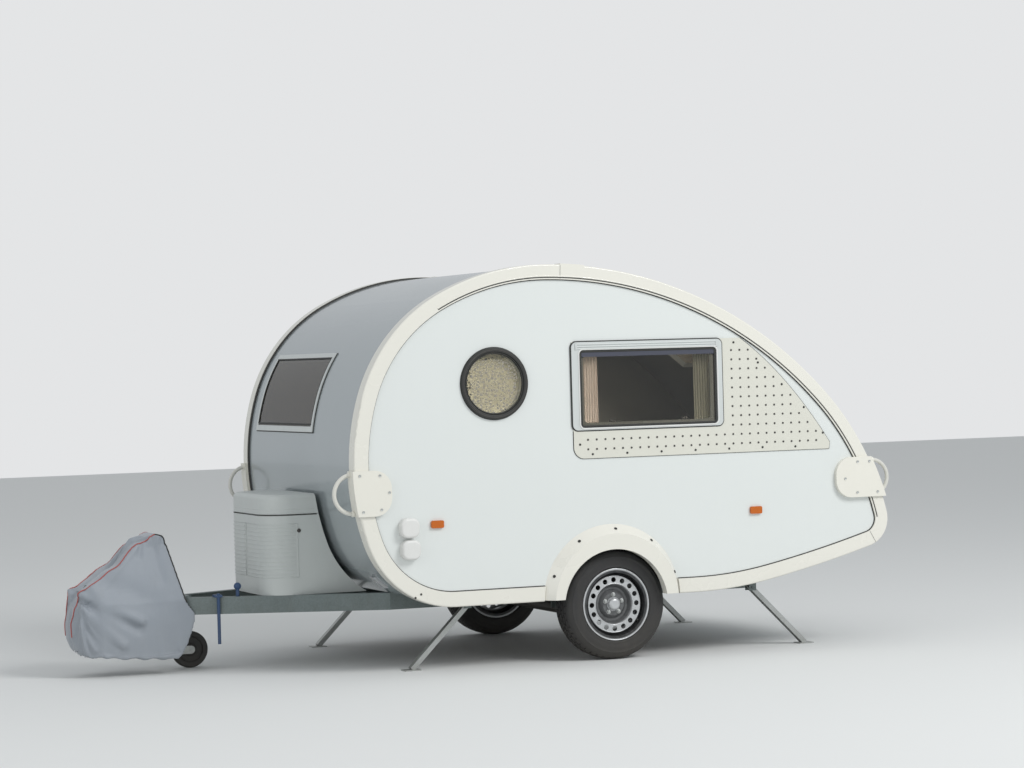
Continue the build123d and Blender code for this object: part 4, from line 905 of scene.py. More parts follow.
@dataclass(frozen=True)
class BodyOutline:
    """Side outline of the body: tangent arcs from the crown of the roof down to the sill."""

    crown_x: float = 0.381
    crown_z: float = 2.141
    sill_z: float = 0.340
    front: tuple = ((1.320, 28.4), (0.880, 44.2), (1.255, 36.7))
    rear: tuple = ((2.300, 47.1), (1.530, 29.0), (0.160, 87.6), (7.300, 5.2))

    def arcs(self, ahead: bool) -> list[Arc]:
        """Arcs of one end, from the crown down.

        Args:
            ahead: True for the front end.

        Returns:
            The arcs, with the one that closes on the sill.
        """
        side = 1 if ahead else -1
        chain = self.front if ahead else self.rear
        x, z, angle = self.crown_x, self.crown_z, 0.0
        found = []
        for radius, turn in [*chain, (None, 180 - sum(t for _, t in chain))]:
            if radius is None:
                radius = (z - self.sill_z) / (1 + math.cos(angle))
            centre = (x - side * radius * math.sin(angle), z - radius * math.cos(angle))
            found.append(Arc(*centre, radius, angle, math.radians(turn)))
            angle += math.radians(turn)
            x = centre[0] + side * radius * math.sin(angle)
            z = centre[1] + radius * math.cos(angle)
        return found

    def along(self, ahead: bool, degrees: float, inset: float) -> Point:
        """Place on the outline after a turn from the crown.

        Args:
            ahead: True for the front end.
            degrees: Turn of the surface from level.
            inset: Distance inside the outline.

        Returns:
            x, z and the surface's turn in radians, positive forwards.
        """
        side = 1 if ahead else -1
        angle = math.radians(degrees)
        for arc in self.arcs(ahead):
            if angle <= arc.start + arc.turn + 1e-9:
                r = arc.radius - inset
                return arc.x + side * r * math.sin(angle), arc.z + r * math.cos(angle), side * angle
        raise ValueError("the turn passes the sill")

    def at_height(self, ahead: bool, z: float, inset: float = 0.0) -> Point:
        """Place on the outline at a height, found by halving the turn."""
        low, high = 0.0, 180.0
        for _ in range(50):
            mid = (low + high) / 2
            if self.along(ahead, mid, inset)[1] > z:
                low = mid
            else:
                high = mid
        return self.along(ahead, low, inset)

    def strip(self, ahead: bool, section: Sequence[Pair], until: float, since: float = 0.0) -> Thing:
        """Strip spun along one end's arcs.

        Args:
            ahead: True for the front end.
            section: Corners as (inset, y).
            until: Turn in degrees where the strip ends.
            since: Turn in degrees where it starts.

        Returns:
            The strip as a closed solid.
        """
        side = 1 if ahead else -1
        first = math.radians(since)
        places = [(*self.along(ahead, since, inset), y) for inset, y in section]
        obj = loop([at(x, y, z) for x, z, _, y in places])
        with editing(obj, whole=True):
            for arc in self.arcs(ahead):
                begin = max(arc.start, first)
                end = min(arc.start + arc.turn, math.radians(until))
                if end - begin > 1e-6:
                    steps = max(1, round(math.degrees(end - begin) * max(1.0, arc.radius ** 0.5) / 2))
                    bpy.ops.mesh.spin(steps=steps, angle=-side * (end - begin), center=at(arc.x, 0, arc.z),
                                      axis=(0, 1, 0))
        return cleaned(obj)


OUTLINE = BodyOutline()


def bead(inset: float, y: float, half_inset: float, half_y: float) -> list[Pair]:
    """Eight-cornered rounded section of a seal, as (inset, y)."""
    return [(inset + half_inset * math.cos(a), y + half_y * math.sin(a))
            for a in (math.radians(22.5 + 45 * n) for n in range(8))]


class Screws:
    """Small screws that hold mouldings, modelled once and copied."""

    @staticmethod
    def master(radius: float, proud: float) -> Thing:
        """Domed head with a shallow round recess, at the origin and pointing up.

        Args:
            radius: Radius of the head.
            proud: Height of the head.

        Returns:
            The head.
        """
        obj = rod((0, 0, -0.0005), (0, 0, proud), radius, 14)
        with editing(obj):
            pick(obj, lambda f: f.normal.z > 0.9)
            bpy.ops.mesh.inset(thickness=radius * 0.28, depth=0)
            bpy.ops.mesh.inset(thickness=radius * 0.2, depth=0)
            bpy.ops.transform.translate(value=(0, 0, -proud * 0.45))
        return smooth(bevelled(obj, proud * 0.3, 1), 50)

    @classmethod
    def row(cls, name: str, places: Iterable[Matrix], finish: Finish, slot: str,
            radius: float, proud: float) -> Thing:
        """One piece with a screw at each place."""
        return dressed(repeated(cls.master(radius, proud), places), name, finish)


@dataclass(frozen=True)
class EdgeTrims:
    """Seals, rails, joints and drain plugs of the ivory mouldings round both sides."""

    leg: float = 0.080
    wall_y: float = 0.968
    face_y: float = 0.980
    arch_front: float = 0.424
    arch_rear: float = -0.362
    seal: float = 0.0042
    wrap_section: tuple = ((0.012, 0.9005), (0.0035, 0.9005), (0.0015, 0.896), (0.003, 0.8915),
                           (0.008, 0.888), (0.012, 0.887))
    wrap_ends: Pair = (168, 160)
    # The black strip in the rail's groove is painted shade.
    rails: tuple = (("awning_groove_shade", 0.0705, 0.0030, 0.0012, SEAL_BLACK),
                    ("awning_rail", 0.0635, 0.0040, 0.0026, IVORY))
    rail_ends: Pair = (30, 86)
    joint_turns: Pair = (2.27, 150.0)
    joint_inset: float = 0.041
    joint: Point = (0.0012, 0.0017, 0.072)
    drains: tuple = ((1.167, 0.401), (1.135, 0.418))

    def build(self) -> None:
        """Makes the pieces of both sides."""
        for side, sign in SIDES:
            self._wall_seal(side, sign)
            self._wrap_seal(side, sign)
            self._rails(side, sign)
            self._joints(side, sign)
            self._drains(side, sign)

    def _straight(self, start_x: float, end_x: float, y: float, z: float) -> Thing:
        """Round seal along the sill between two places."""
        return rod(at(start_x, y, z), at(end_x, y, z), self.seal, 8)

    def _wall_seal(self, side: str, sign: int) -> None:
        """Dark seal between the moulding's inner edge and the wall."""
        y = sign * self.wall_y
        inset = self.leg + self.seal * 0.3
        section = bead(inset, y, self.seal, self.seal)
        z = OUTLINE.sill_z + inset
        front, rear = OUTLINE.arcs(True)[-1], OUTLINE.arcs(False)[-1]
        parts = [OUTLINE.strip(True, section, 180), OUTLINE.strip(False, section, 180),
                 self._straight(front.x, self.arch_front, y, z), self._straight(rear.x, self.arch_rear, y, z)]
        dressed(joined(parts), f"wall_seal_{side}", SEAL_BLACK, angle=60)

    def _wrap_seal(self, side: str, sign: int) -> None:
        """Bold black seal between the moulding and the wrap of front, roof and tail."""
        section = [(inset, sign * y) for inset, y in self.wrap_section]
        front = OUTLINE.strip(True, section, self.wrap_ends[0])
        rear = OUTLINE.strip(False, section, self.wrap_ends[1])
        dressed(cleaned(joined([front, rear])), f"wrap_seal_{side}", SEAL_BLACK, angle=60)

    def _rails(self, side: str, sign: int) -> None:
        """Awning rail along the roof on the moulding's face, with a black strip as painted shade in its
        groove.
        """
        for name, inset, half, rise, finish in self.rails:
            line = bead(inset, sign * self.face_y, half, rise)
            rear = OUTLINE.strip(False, line, self.rail_ends[1])
            front = OUTLINE.strip(True, line, self.rail_ends[0])
            dressed(joined([rear, front]), f"{name}_{side}", finish, angle=60)

    def _joints(self, side: str, sign: int) -> None:
        """Fine dark lines where two lengths of moulding meet."""
        parts = []
        half_x, half_z = self.joint[0] / 2, self.joint[2] / 2
        for turn in self.joint_turns:
            x, z, angle = OUTLINE.along(False, turn, self.joint_inset)
            line = cube((-half_x, 0.0012 - self.joint[1], -half_z), (half_x, 0.0012, half_z))
            place = Matrix.Translation(at(x, sign * self.face_y, z))
            line.data.transform(place @ Matrix.Rotation(angle, 4, "Y"))
            parts.append(line)
        dressed(joined(parts), f"moulding_joints_{side}", SEAL_BLACK)

    def _drains(self, side: str, sign: int) -> None:
        """Plugs of the drain holes at the moulding's low front."""
        places = [facing(at(x, sign * (self.face_y + 0.0002), z), (0, sign, 0)) for x, z in self.drains]
        Screws.row(f"drain_plugs_{side}", places, SEAL_BLACK, "edge_trims", 0.006, 0.0016)


@dataclass(frozen=True)
class DimplePanel:
    """Rows of dimples, rear border, seal and edge screws of the panel round a side window."""

    pitch: float = 0.0513
    first_x: float = 0.152
    first_z: float = 1.143
    face_y: float = 0.974
    window_rear_x: float = -0.668
    window_z: float = 1.235
    window_gap: float = 0.030
    screw_gap: float = 0.022
    edge_gap: float = 0.034
    bottom_z: float = 1.094
    front_x: float = 0.234
    corner: float = 0.060
    packed: tuple = ((-0.674, 1.722), (-0.985, 1.479), (-1.290, 1.130))
    border: tuple = ((-0.775, 1.722), (-1.056, 1.470), (-1.318, 1.130))
    seal: float = 0.0034
    seal_y: float = 0.9683
    sheet: float = 0.0058
    dimple: float = 0.0058
    crater: float = 0.0036
    columns: int = 29
    rows: int = 12
    screws: tuple = ((0.126, 1.116), (-0.078, 1.116), (-0.283, 1.116), (-0.488, 1.116), (-0.693, 1.116),
                     (-0.898, 1.116), (-1.102, 1.113), (0.199, 1.170), (-0.736, 1.698), (-0.883, 1.584),
                     (-1.027, 1.460), (-1.161, 1.329), (-1.276, 1.183))

    def build(self) -> None:
        """Makes the dimples, borders, seals and screws of both sides."""
        for side, sign in SIDES:
            y = sign * self.face_y
            spots = [facing(at(x, y, z), (0, sign, 0)) for x, z in self._grid()]
            dressed(repeated(self._dimple(), spots), f"panel_dimples_{side}", DARK_STEEL)
            self._edge(side, sign)
            heads = [facing(at(x, y, z), (0, sign, 0)) for x, z in self.screws]
            Screws.row(f"panel_screws_{side}", heads, SEAL_BLACK, "dimple_panels", 0.0062, 0.0024)

    def _dimple(self) -> Thing:
        """One raised dimple with a small dark crater, at the origin."""
        obj = rod((0, 0, -0.0004), (0, 0, 0.0016), self.dimple, 12)
        with editing(obj):
            pick(obj, lambda f: f.normal.z > 0.9)
            bpy.ops.mesh.inset(thickness=self.dimple - self.crater, depth=0)
            bpy.ops.transform.translate(value=(0, 0, -0.0012))
        return smooth(obj, 60)

    def _grid(self) -> list[Pair]:
        """Dimple centres that lie on the panel, below and behind the window."""
        found = []
        for row in range(self.rows):
            z = self.first_z + row * self.pitch
            for column in range(self.columns):
                x = self.first_x - column * self.pitch
                beside = z > self.window_z and x > self.window_rear_x - self.window_gap
                screwed = any(math.hypot(x - sx, z - sz) < self.screw_gap for sx, sz in self.screws)
                if not beside and not screwed and x > self._slope_x(z) + self.edge_gap:
                    found.append((x, z))
        return found

    def _bow(self, ends: Sequence[Pair]) -> list[Pair]:
        """Points of a slightly bowed line through three corners."""
        top, mid, tail = (Vector(end) for end in ends)
        found = []
        for step in range(17):
            s = step / 16
            spot = 2 * (s - 0.5) * (s - 1) * top + 4 * s * (1 - s) * mid + 2 * s * (s - 0.5) * tail
            found.append(tuple(spot))
        return found

    def _edge(self, side: str, sign: int) -> None:
        """Rear border of the panel, and the dark seal round the panel's outer edge."""
        y = sign * (self.face_y - 0.00005)
        outside, inside = self._bow(self.border), self._bow(self.packed)
        foot = [(self.border[2][0] + 0.006, self.bottom_z), (self.packed[2][0] + 0.014, self.bottom_z)]
        corners = [*outside, *foot, *((x + 0.008, z) for x, z in reversed(inside))]
        strip = extruded(loop([at(x, y, z) for x, z in corners]), (0, -sign * self.sheet, 0))
        dressed(strip, f"panel_border_{side}", DIMPLE_SHEET)
        line = [(x - 0.001, z) for x, z in outside]
        line += [(self.border[2][0] + 0.004, self.bottom_z), (self.front_x - self.corner, self.bottom_z)]
        for step in range(1, 9):
            angle = math.pi / 2 * step / 8
            line.append((self.front_x - self.corner + self.corner * math.sin(angle),
                         self.bottom_z + self.corner * (1 - math.cos(angle))))
        line.append((self.front_x, self.window_z + 0.006))
        seal = tube([at(x, sign * self.seal_y, z) for x, z in line], self.seal, sides=1)
        dressed(seal, f"panel_seal_{side}", SEAL_BLACK, angle=60)

    def _slope_x(self, z: float) -> float:
        """Rear edge of the panel at a height."""
        line = self._bow(self.border)
        for (x0, z0), (x1, z1) in zip(line, line[1:]):
            if z1 <= z <= z0:
                return x0 + (x1 - x0) * (z0 - z) / (z0 - z1)
        return line[-1][0]


def rounded(x_range: Pair, z_range: Pair, radius: float, y: float) -> list[Vector]:
    """Corners of an upright rectangle with round corners, facing along Y."""
    centres = ((x_range[1] - radius, z_range[1] - radius), (x_range[0] + radius, z_range[1] - radius),
               (x_range[0] + radius, z_range[0] + radius), (x_range[1] - radius, z_range[0] + radius))
    points = []
    for quarter, (x, z) in enumerate(centres):
        for step in range(9):
            angle = math.pi / 2 * (quarter + step / 8)
            points.append(at(x + radius * math.cos(angle), y, z + radius * math.sin(angle)))
    return points


def rim_frame(x_range: Pair, z_range: Pair, radius: float, y: float,
              width: float, rise: float, soft: float) -> Thing:
    """Flat frame whose outside is a rounded rectangle on a side wall.

    Args:
        x_range: Outside limits along the vehicle.
        z_range: Outside limits in height.
        radius: Corner radius.
        y: Where it stands; its sign gives the side.
        width: Width of the frame's face.
        rise: How far it stands out.
        soft: Rounding of its edges.

    Returns:
        The frame.
    """
    obj = loop(rounded(x_range, z_range, radius, y))
    with editing(obj, whole=True):
        bpy.ops.mesh.inset(thickness=width, depth=0)
        bpy.ops.mesh.delete(type="FACE")
    extruded(obj, (0, math.copysign(rise, y), 0))
    return smooth(bevelled(obj, soft, 2), 40)


@dataclass(frozen=True)
class WindowRing:
    """One seal or bead round a side window: its lap outside an opening, and its own sizes."""

    name: str
    finish: Finish
    round_frame: bool
    lap: float
    corner: float
    y: float
    width: float
    rise: float
    soft: float


@dataclass(frozen=True)
class SideWindow:
    """Seals, beads, the ribbed top rail and the catches of both side windows."""

    frame_x: Pair = (-0.660, 0.238)
    frame_z: Pair = (1.246, 1.720)
    pane_x: Pair = (-0.627, 0.192)
    pane_z: Pair = (1.259, 1.676)
    rings: tuple = (
        WindowRing("window_outer_seal", SEAL_BLACK, True, 0.0065, 0.036, 0.968, 0.0068, 0.0085, 0.002),
        WindowRing("window_bead", CAP_WHITE, False, 0.008, 0.030, 0.9795, 0.007, 0.0035, 0.0012),
        WindowRing("window_pane_seal", SEAL_BLACK, False, 0.0, 0.022, 0.974, 0.013, 0.0028, 0.001),
    )
    face_y: float = 0.980
    ribs_z: tuple = (1.6835, 1.6955, 1.7075)
    ribs_x: Pair = (-0.625, 0.208)
    rib: float = 0.0042
    stops_x: Pair = (-0.630, 0.211)
    stop_z: Pair = (1.679, 1.713)
    stop_half_x: float = 0.006
    catches_x: Pair = (-0.43, 0.0)
    catch_y: float = 0.9655
    catch_z: Pair = (1.282, 1.300)
    catch_half_x: float = 0.020

    def build(self) -> None:
        """Makes both windows' pieces."""
        for side, sign in SIDES:
            for ring in self.rings:
                self._ring(ring, side, sign)
            self._rail(side, sign)
            self._catches(side, sign)

    def _ring(self, ring: WindowRing, side: str, sign: int) -> None:
        """One rounded ring on the wall of one side."""
        x_range, z_range = (self.frame_x, self.frame_z) if ring.round_frame else (self.pane_x, self.pane_z)
        wide, tall = ((low - ring.lap, high + ring.lap) for low, high in (x_range, z_range))
        frame = rim_frame(wide, tall, ring.corner, sign * ring.y, ring.width, ring.rise, ring.soft)
        dressed(frame, f"{ring.name}_{side}", ring.finish)

    def _rail(self, side: str, sign: int) -> None:
        """Three ribs of the rail that the window hangs from, with its end stops."""
        y = sign * self.face_y
        parts = [rod(at(self.ribs_x[0], y, z), at(self.ribs_x[1], y, z), self.rib, 10) for z in self.ribs_z]
        half = self.stop_half_x
        for x in self.stops_x:
            stop = cube(at(x - half, y - 0.001, self.stop_z[0]), at(x + half, y + 0.001, self.stop_z[1]))
            stop.data.transform(Matrix.Translation((0, sign * 0.003, 0)))
            parts.append(bevelled(stop, 0.0006, 1))
        dressed(joined(parts), f"window_rail_{side}", FRAME_GREY, angle=40)

    def _catches(self, side: str, sign: int) -> None:
        """Two turn catches inside the pane's lower edge."""
        parts = []
        low, high = self.catch_z
        half, middle, outer = self.catch_half_x, (low + high) / 2, sign * self.catch_y
        near, far = sorted((outer, outer - sign * 0.004))
        for x in self.catches_x:
            base = cube(at(x - half, near, low), at(x + half, far, high))
            knob = rod(at(x, outer - sign * 0.002, middle), at(x, outer - sign * 0.012, middle), 0.007, 16)
            parts += [bevelled(base, 0.0012, 2), bevelled(knob, 0.001, 1)]
        dressed(joined(parts), f"window_catches_{side}", BLACK_PLASTIC, angle=40)


@dataclass(frozen=True)
class EndWindows:
    """Seals of the curved windows in the front and the back."""

    front_y: Pair = (-0.760, 0.250)
    front_z: Pair = (1.272, 1.700)
    rear_turn: float = 36.0
    rear_length: float = 0.430
    rear_half_y: float = 0.430
    border: float = 0.030
    outer: Point = (0.0055, 0.012, 0.0045)
    inner: Point = (0.0050, 0.0045, 0.0030)

    def build(self) -> None:
        """Makes the seals of both windows."""
        top = math.degrees(OUTLINE.at_height(True, self.front_z[1])[2])
        low = math.degrees(OUTLINE.at_height(True, self.front_z[0])[2])
        self._surround("front", True, (top, low), self.front_y)
        half = math.degrees(self.rear_length / 2 / OUTLINE.rear[0][0])
        turns = (self.rear_turn - half, self.rear_turn + half)
        self._surround("rear", False, turns, (-self.rear_half_y, self.rear_half_y))

    def _surround(self, name: str, ahead: bool, turns: Pair, widths: Pair) -> None:
        """Dark seals outside and inside one window's frame.

        Args:
            name: front or rear.
            ahead: Which end's outline it lies on.
            turns: Turns in degrees of its upper and lower edges.
            widths: Its right and left limits.
        """
        radius = next(a.radius for a in OUTLINE.arcs(ahead) if math.radians(turns[0]) < a.start + a.turn)
        step = math.degrees(self.border / radius)
        self._rectangle(f"{name}_window_seal", ahead, turns, widths, *self.outer)
        inner_turns = (turns[0] + step, turns[1] - step)
        inner_widths = (widths[0] + self.border, widths[1] - self.border)
        self._rectangle(f"{name}_window_pane_seal", ahead, inner_turns, inner_widths, *self.inner)

    def _rectangle(self, name: str, ahead: bool, turns: Pair, widths: Pair,
                   half: float, inset: float, rise: float) -> None:
        """Four seal strips that follow the curved skin.

        Args:
            name: Name of the piece.
            ahead: Which end's outline they lie on.
            turns: Turns in degrees of the upper and lower strips.
            widths: Places of the side strips.
            half: Half width of a strip.
            inset: Distance of its middle inside the outline.
            rise: Half thickness of a strip.
        """
        parts = []
        for y in widths:
            parts.append(OUTLINE.strip(ahead, bead(inset, y, rise, half), turns[1], turns[0]))
        for turn in turns:
            x, z, angle = OUTLINE.along(ahead, turn, inset)
            bar = rod(at(x, widths[0] - half, z), at(x, widths[1] + half, z), half, 8)
            bar.data.transform(Matrix.Translation(-at(x, 0, z)))
            squeeze = Matrix.Rotation(angle, 4, "Y") @ Matrix.Diagonal((1, 1, rise / half, 1))
            bar.data.transform(Matrix.Translation(at(x, 0, z)) @ squeeze)
            parts.append(bar)
        dressed(joined(parts), name, SEAL_BLACK, angle=60)


@dataclass(frozen=True)
class Portholes:
    """Rings of both portholes and the net behind the left one."""

    holes: tuple = (("left", 0.685, 1, BODY, "porthole_rim"),
                    ("door", 0.712, -1, "door", "door_porthole_rim"))
    height: float = 1.512
    glass: float = 0.166
    lip: Point = (0.162, 0.9745, 0.0042)
    outer: Point = (0.1915, 0.969, 0.0032)
    bead: Point = (0.179, 0.9835, 0.0022)
    net_y: float = 0.9365

    def build(self) -> None:
        """Makes the rings and the net."""
        for name, x, sign, body, slot in self.holes:
            lip, outer, middle = (torus(at(x, sign * y, self.height), major, minor)
                                  for major, y, minor in (self.lip, self.outer, self.bead))
            dressed(joined([lip, outer]), f"porthole_lips_{name}", SEAL_BLACK, body, angle=80)
            dressed(middle, f"porthole_bead_{name}", DARK_STEEL, body, angle=80)
        self._net()

    def _net(self) -> None:
        """Open-work net stretched flat behind the left porthole."""
        x, radius = self.holes[0][1], self.glass
        disc = loop([at(x + radius * math.cos(a), self.net_y, self.height + radius * math.sin(a))
                     for a in (math.tau * n / 64 for n in range(64))])
        with editing(disc, whole=True):
            bpy.ops.mesh.inset(thickness=0.05, depth=0)
            bpy.ops.mesh.inset(thickness=0.06, depth=0)
        net = dressed(disc, "porthole_net", NET_CREAM)


@dataclass(frozen=True)
class CornerFittings:
    """Screws of the corner plates and collars of the grab handles."""

    face_y: float = 0.9942
    front: tuple = ((1.462, 1.052), (1.351, 1.050), (1.300, 0.960), (1.346, 0.872), (1.447, 0.863))
    rear: tuple = ((-1.400, 0.922), (-1.603, 0.842), (-1.475, 0.842), (-1.480, 1.014), (-1.555, 1.014))
    bends: tuple = ((1.482, 0.956, 0.103, True), (-1.600, 0.922, 0.098, False))
    handle_y: float = 0.934
    plate_rise: float = 0.012
    collar: float = 0.0155
    collar_ends: Pair = (-0.003, 0.009)

    def build(self) -> None:
        """Makes the screws and collars of both sides."""
        for side, sign in SIDES:
            spots = [facing(at(x, sign * self.face_y, z), (0, sign, 0)) for x, z in self.front + self.rear]
            Screws.row(f"plate_screws_{side}", spots, ZINC, "corner_plates", 0.0075, 0.003)
            collars = [self._collar(*bend, up, sign) for bend in self.bends for up in (1, -1)]
            dressed(joined(collars), f"handle_collars_{side}", IVORY_PLATE, angle=40)

    def _collar(self, x: float, z: float, radius: float, ahead: bool, up: int, sign: int) -> Thing:
        """Collar where a handle's round bar leaves its plate.

        Args:
            x: Middle of the bar's bend, ahead of the axle.
            z: Middle of the bend in height.
            radius: Radius of the bend.
            ahead: True for a front handle.
            up: 1 for its upper end and -1 for its lower one.
            sign: 1 for the left side and -1 for the right one.

        Returns:
            The collar.
        """
        way = 1 if ahead else -1
        low, high = 0.0, math.pi / 2
        for _ in range(40):
            mid = (low + high) / 2
            px, pz = x + way * radius * math.cos(mid), z + up * radius * math.sin(mid)
            if way * (px - OUTLINE.at_height(ahead, pz, -self.plate_rise)[0]) > 0:
                low = mid
            else:
                high = mid
        centre = at(x + way * radius * math.cos(low), sign * self.handle_y, z + up * radius * math.sin(low))
        tangent = Vector((way * math.sin(low), 0, -up * math.cos(low)))
        start, end = (centre + tangent * reach for reach in self.collar_ends)
        return bevelled(rod(start, end, self.collar, 24), 0.002, 2)


@dataclass(frozen=True)
class ArchScrews:
    """Screws on the slanted flank of both wheel arches, and the bead of their edge."""

    middle: Pair = (0.026, 0.330)
    radius: float = 0.381
    y: float = 0.995
    slant: Pair = (0.76, 0.65)
    turns: tuple = (22.0, 58.0, 92.0, 126.0, 160.0)
    opening: Pair = (0.028, 0.298)
    lip_radius: float = 0.304
    lip_section: tuple = ((0.0052, 1.0195), (0.003, 1.0212), (-0.0003, 1.0205), (-0.0006, 1.0175),
                          (-0.0006, 1.006), (0.002, 1.006))
    foot_z: float = 0.345

    def build(self) -> None:
        """Makes both sides' screws and edge beads."""
        for side, sign in SIDES:
            spots = []
            for angle in map(math.radians, self.turns):
                out = Vector((math.cos(angle), 0, math.sin(angle)))
                place = at(self.middle[0], sign * self.y, self.middle[1]) + out * self.radius
                spots.append(facing(place, out * self.slant[0] + Vector((0, sign * self.slant[1], 0))))
            Screws.row(f"arch_screws_{side}", spots, SEAL_BLACK, "wheel_arches", 0.0085, 0.003)
            self._lip(side, sign)

    def _lip(self, side: str, sign: int) -> None:
        """Rounded bead round the wheel opening's edge."""
        x, z = self.opening
        start = math.asin((self.foot_z - z) / self.lip_radius)
        section = [(self.lip_radius + r, y) for r, y in self.lip_section]
        corners = [at(x + r * math.cos(start), sign * y, z + r * math.sin(start)) for r, y in section]
        lip = loop(corners)
        with editing(lip, whole=True):
            bpy.ops.mesh.spin(steps=72, angle=math.pi - 2 * start, center=at(x, 0, z), axis=(0, 1, 0))
        dressed(cleaned(lip), f"arch_lip_{side}", IVORY, angle=40)


@dataclass(frozen=True)
class Wheels:
    """Tyres with their tread, rim lips in a brighter silver as painted highlight, wheel bolts and valves."""

    axle_z: float = 0.298
    centre_y: float = 0.8625
    steps: int = 240
    pitch: int = 5
    ribs: tuple = ((0.0535, 0.0740, 0), (0.0200, 0.0360, 2), (-0.005, 0.006, 4))
    tread: float = 0.2875
    groove: float = 0.0045
    lips: tuple = ((0.0835, 0.1922, 0.0030), (0.0575, 0.1525, 0.0022), (0.0575, 0.1120, 0.0024))
    bolts: int = 5
    bolt_ring: float = 0.051
    bolt_turn: float = 18.0
    face_y: float = 0.046
    valve_turn: float = 215.0
    flank: tuple = ((0.1785, 0.0660), (0.1785, 0.0742), (0.1900, 0.0746), (0.1962, 0.0765), (0.1975, 0.0840),
                    (0.2010, 0.0880), (0.2050, 0.0902), (0.2075, 0.0894), (0.2220, 0.0925), (0.2440, 0.0922),
                    (0.2570, 0.0900), (0.2590, 0.0908), (0.2625, 0.0888), (0.2730, 0.0845), (0.2800, 0.0800),
                    (0.2870, 0.0725), (0.2920, 0.0620), (0.2950, 0.0520), (0.2955, 0.0460), (0.2885, 0.0452),
                    (0.2885, 0.0388), (0.2965, 0.0380), (0.2974, 0.0160), (0.2895, 0.0152), (0.2895, 0.0088),
                    (0.2978, 0.0080))
    lining: tuple = ((0.2840, 0.0300), (0.2760, 0.0640), (0.2450, 0.0830), (0.2050, 0.0800), (0.1830, 0.0660))

    def build(self) -> None:
        """Makes both sides' pieces."""
        for side, sign in SIDES:
            self._tyre(side, sign)
            self._fittings(side, sign)

    def _spot(self, sign: int, radius: float, out: float, turn: float = 90.0) -> Vector:
        """Point of a wheel from its radius, its distance outwards and its turn in degrees."""
        angle = math.radians(turn)
        ahead, up = radius * math.cos(angle), radius * math.sin(angle)
        return at(ahead, sign * (self.centre_y + out), self.axle_z + up)

    def _tyre(self, side: str, sign: int) -> None:
        """Turned tyre with grooves cut across its ribs."""
        section = [*self.flank, *((r, -y) for r, y in reversed(self.flank)),
                   *((r, -y) for r, y in reversed(self.lining)), *self.lining]
        corners = [self._spot(sign, r, y) for r, y in section]
        tyre = turned(corners, self._spot(sign, 0, 0), self.steps)
        for low, high, phase in self.ribs:
            self._groove(tyre, sign, low, high, phase)
        dressed(tyre, f"tyre_tread_{side}", RUBBER, f"{side}_wheel", angle=32)
        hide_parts(f"tyre_{side}")

    def _groove(self, tyre: Thing, sign: int, low: float, high: float, phase: int) -> None:
        """Sinks narrow faces across one rib, at even steps round the tread."""
        def crossing(face: bmesh.types.BMFace) -> bool:
            spot = face.calc_center_median()
            ahead, up = spot.x - AXLE_X, spot.z - self.axle_z
            across = abs(spot.y - sign * self.centre_y)
            column = int(math.atan2(up, ahead) % math.tau / math.tau * self.steps)
            return math.hypot(ahead, up) > self.tread and low < across < high and column % self.pitch == phase
        with editing(tyre):
            pick(tyre, crossing)
            bpy.ops.mesh.inset(thickness=0.0005, depth=-self.groove)

    def _bar(self, sign: int, turn: float, start: Pair, end: Pair, radius: float,
             sides: int, soft: float) -> Thing:
        """Round or six-sided bar on a wheel, with softened ends.

        Args:
            sign: 1 for the left wheel and -1 for the right one.
            turn: Its turn round the wheel in degrees.
            start: Radius and distance outwards of its first end.
            end: The same of its second end.
            radius: Its own radius.
            sides: Faces round it.
            soft: Rounding of its edges.

        Returns:
            The bar.
        """
        first, last = self._spot(sign, *start, turn), self._spot(sign, *end, turn)
        return bevelled(rod(first, last, radius, sides), soft, 2)

    def _fittings(self, side: str, sign: int) -> None:
        """Rim lips, bolts with their seats, and the valve."""
        slot, body = f"wheel_{side}", f"{side}_wheel"
        # The lips take a brighter silver as painted highlight.
        rings = [torus(self._spot(sign, 0, out), major, minor) for out, major, minor in self.lips]
        dressed(joined(rings), f"rim_lips_{side}", RIM_LIP_HIGHLIGHT, body, angle=80)
        parts = []
        ring, face = self.bolt_ring, self.face_y
        for number in range(self.bolts):
            turn = self.bolt_turn + 360 * number / self.bolts
            parts.append(self._bar(sign, turn, (ring, face - 0.001), (ring, face + 0.003), 0.0125, 24, 0.001))
            parts.append(self._bar(sign, turn, (ring, face), (ring, face + 0.013), 0.0095, 6, 0.0012))
        dressed(joined(parts), f"wheel_bolts_{side}", ZINC, body, angle=40)
        stem = self._bar(sign, self.valve_turn, (0.1700, 0.040), (0.1600, 0.066), 0.0042, 16, 0.0008)
        cap = self._bar(sign, self.valve_turn, (0.1604, 0.065), (0.1570, 0.074), 0.0047, 12, 0.0008)
        dressed(joined([stem, cap]), f"valve_{side}", SEAL_BLACK, body, angle=40)


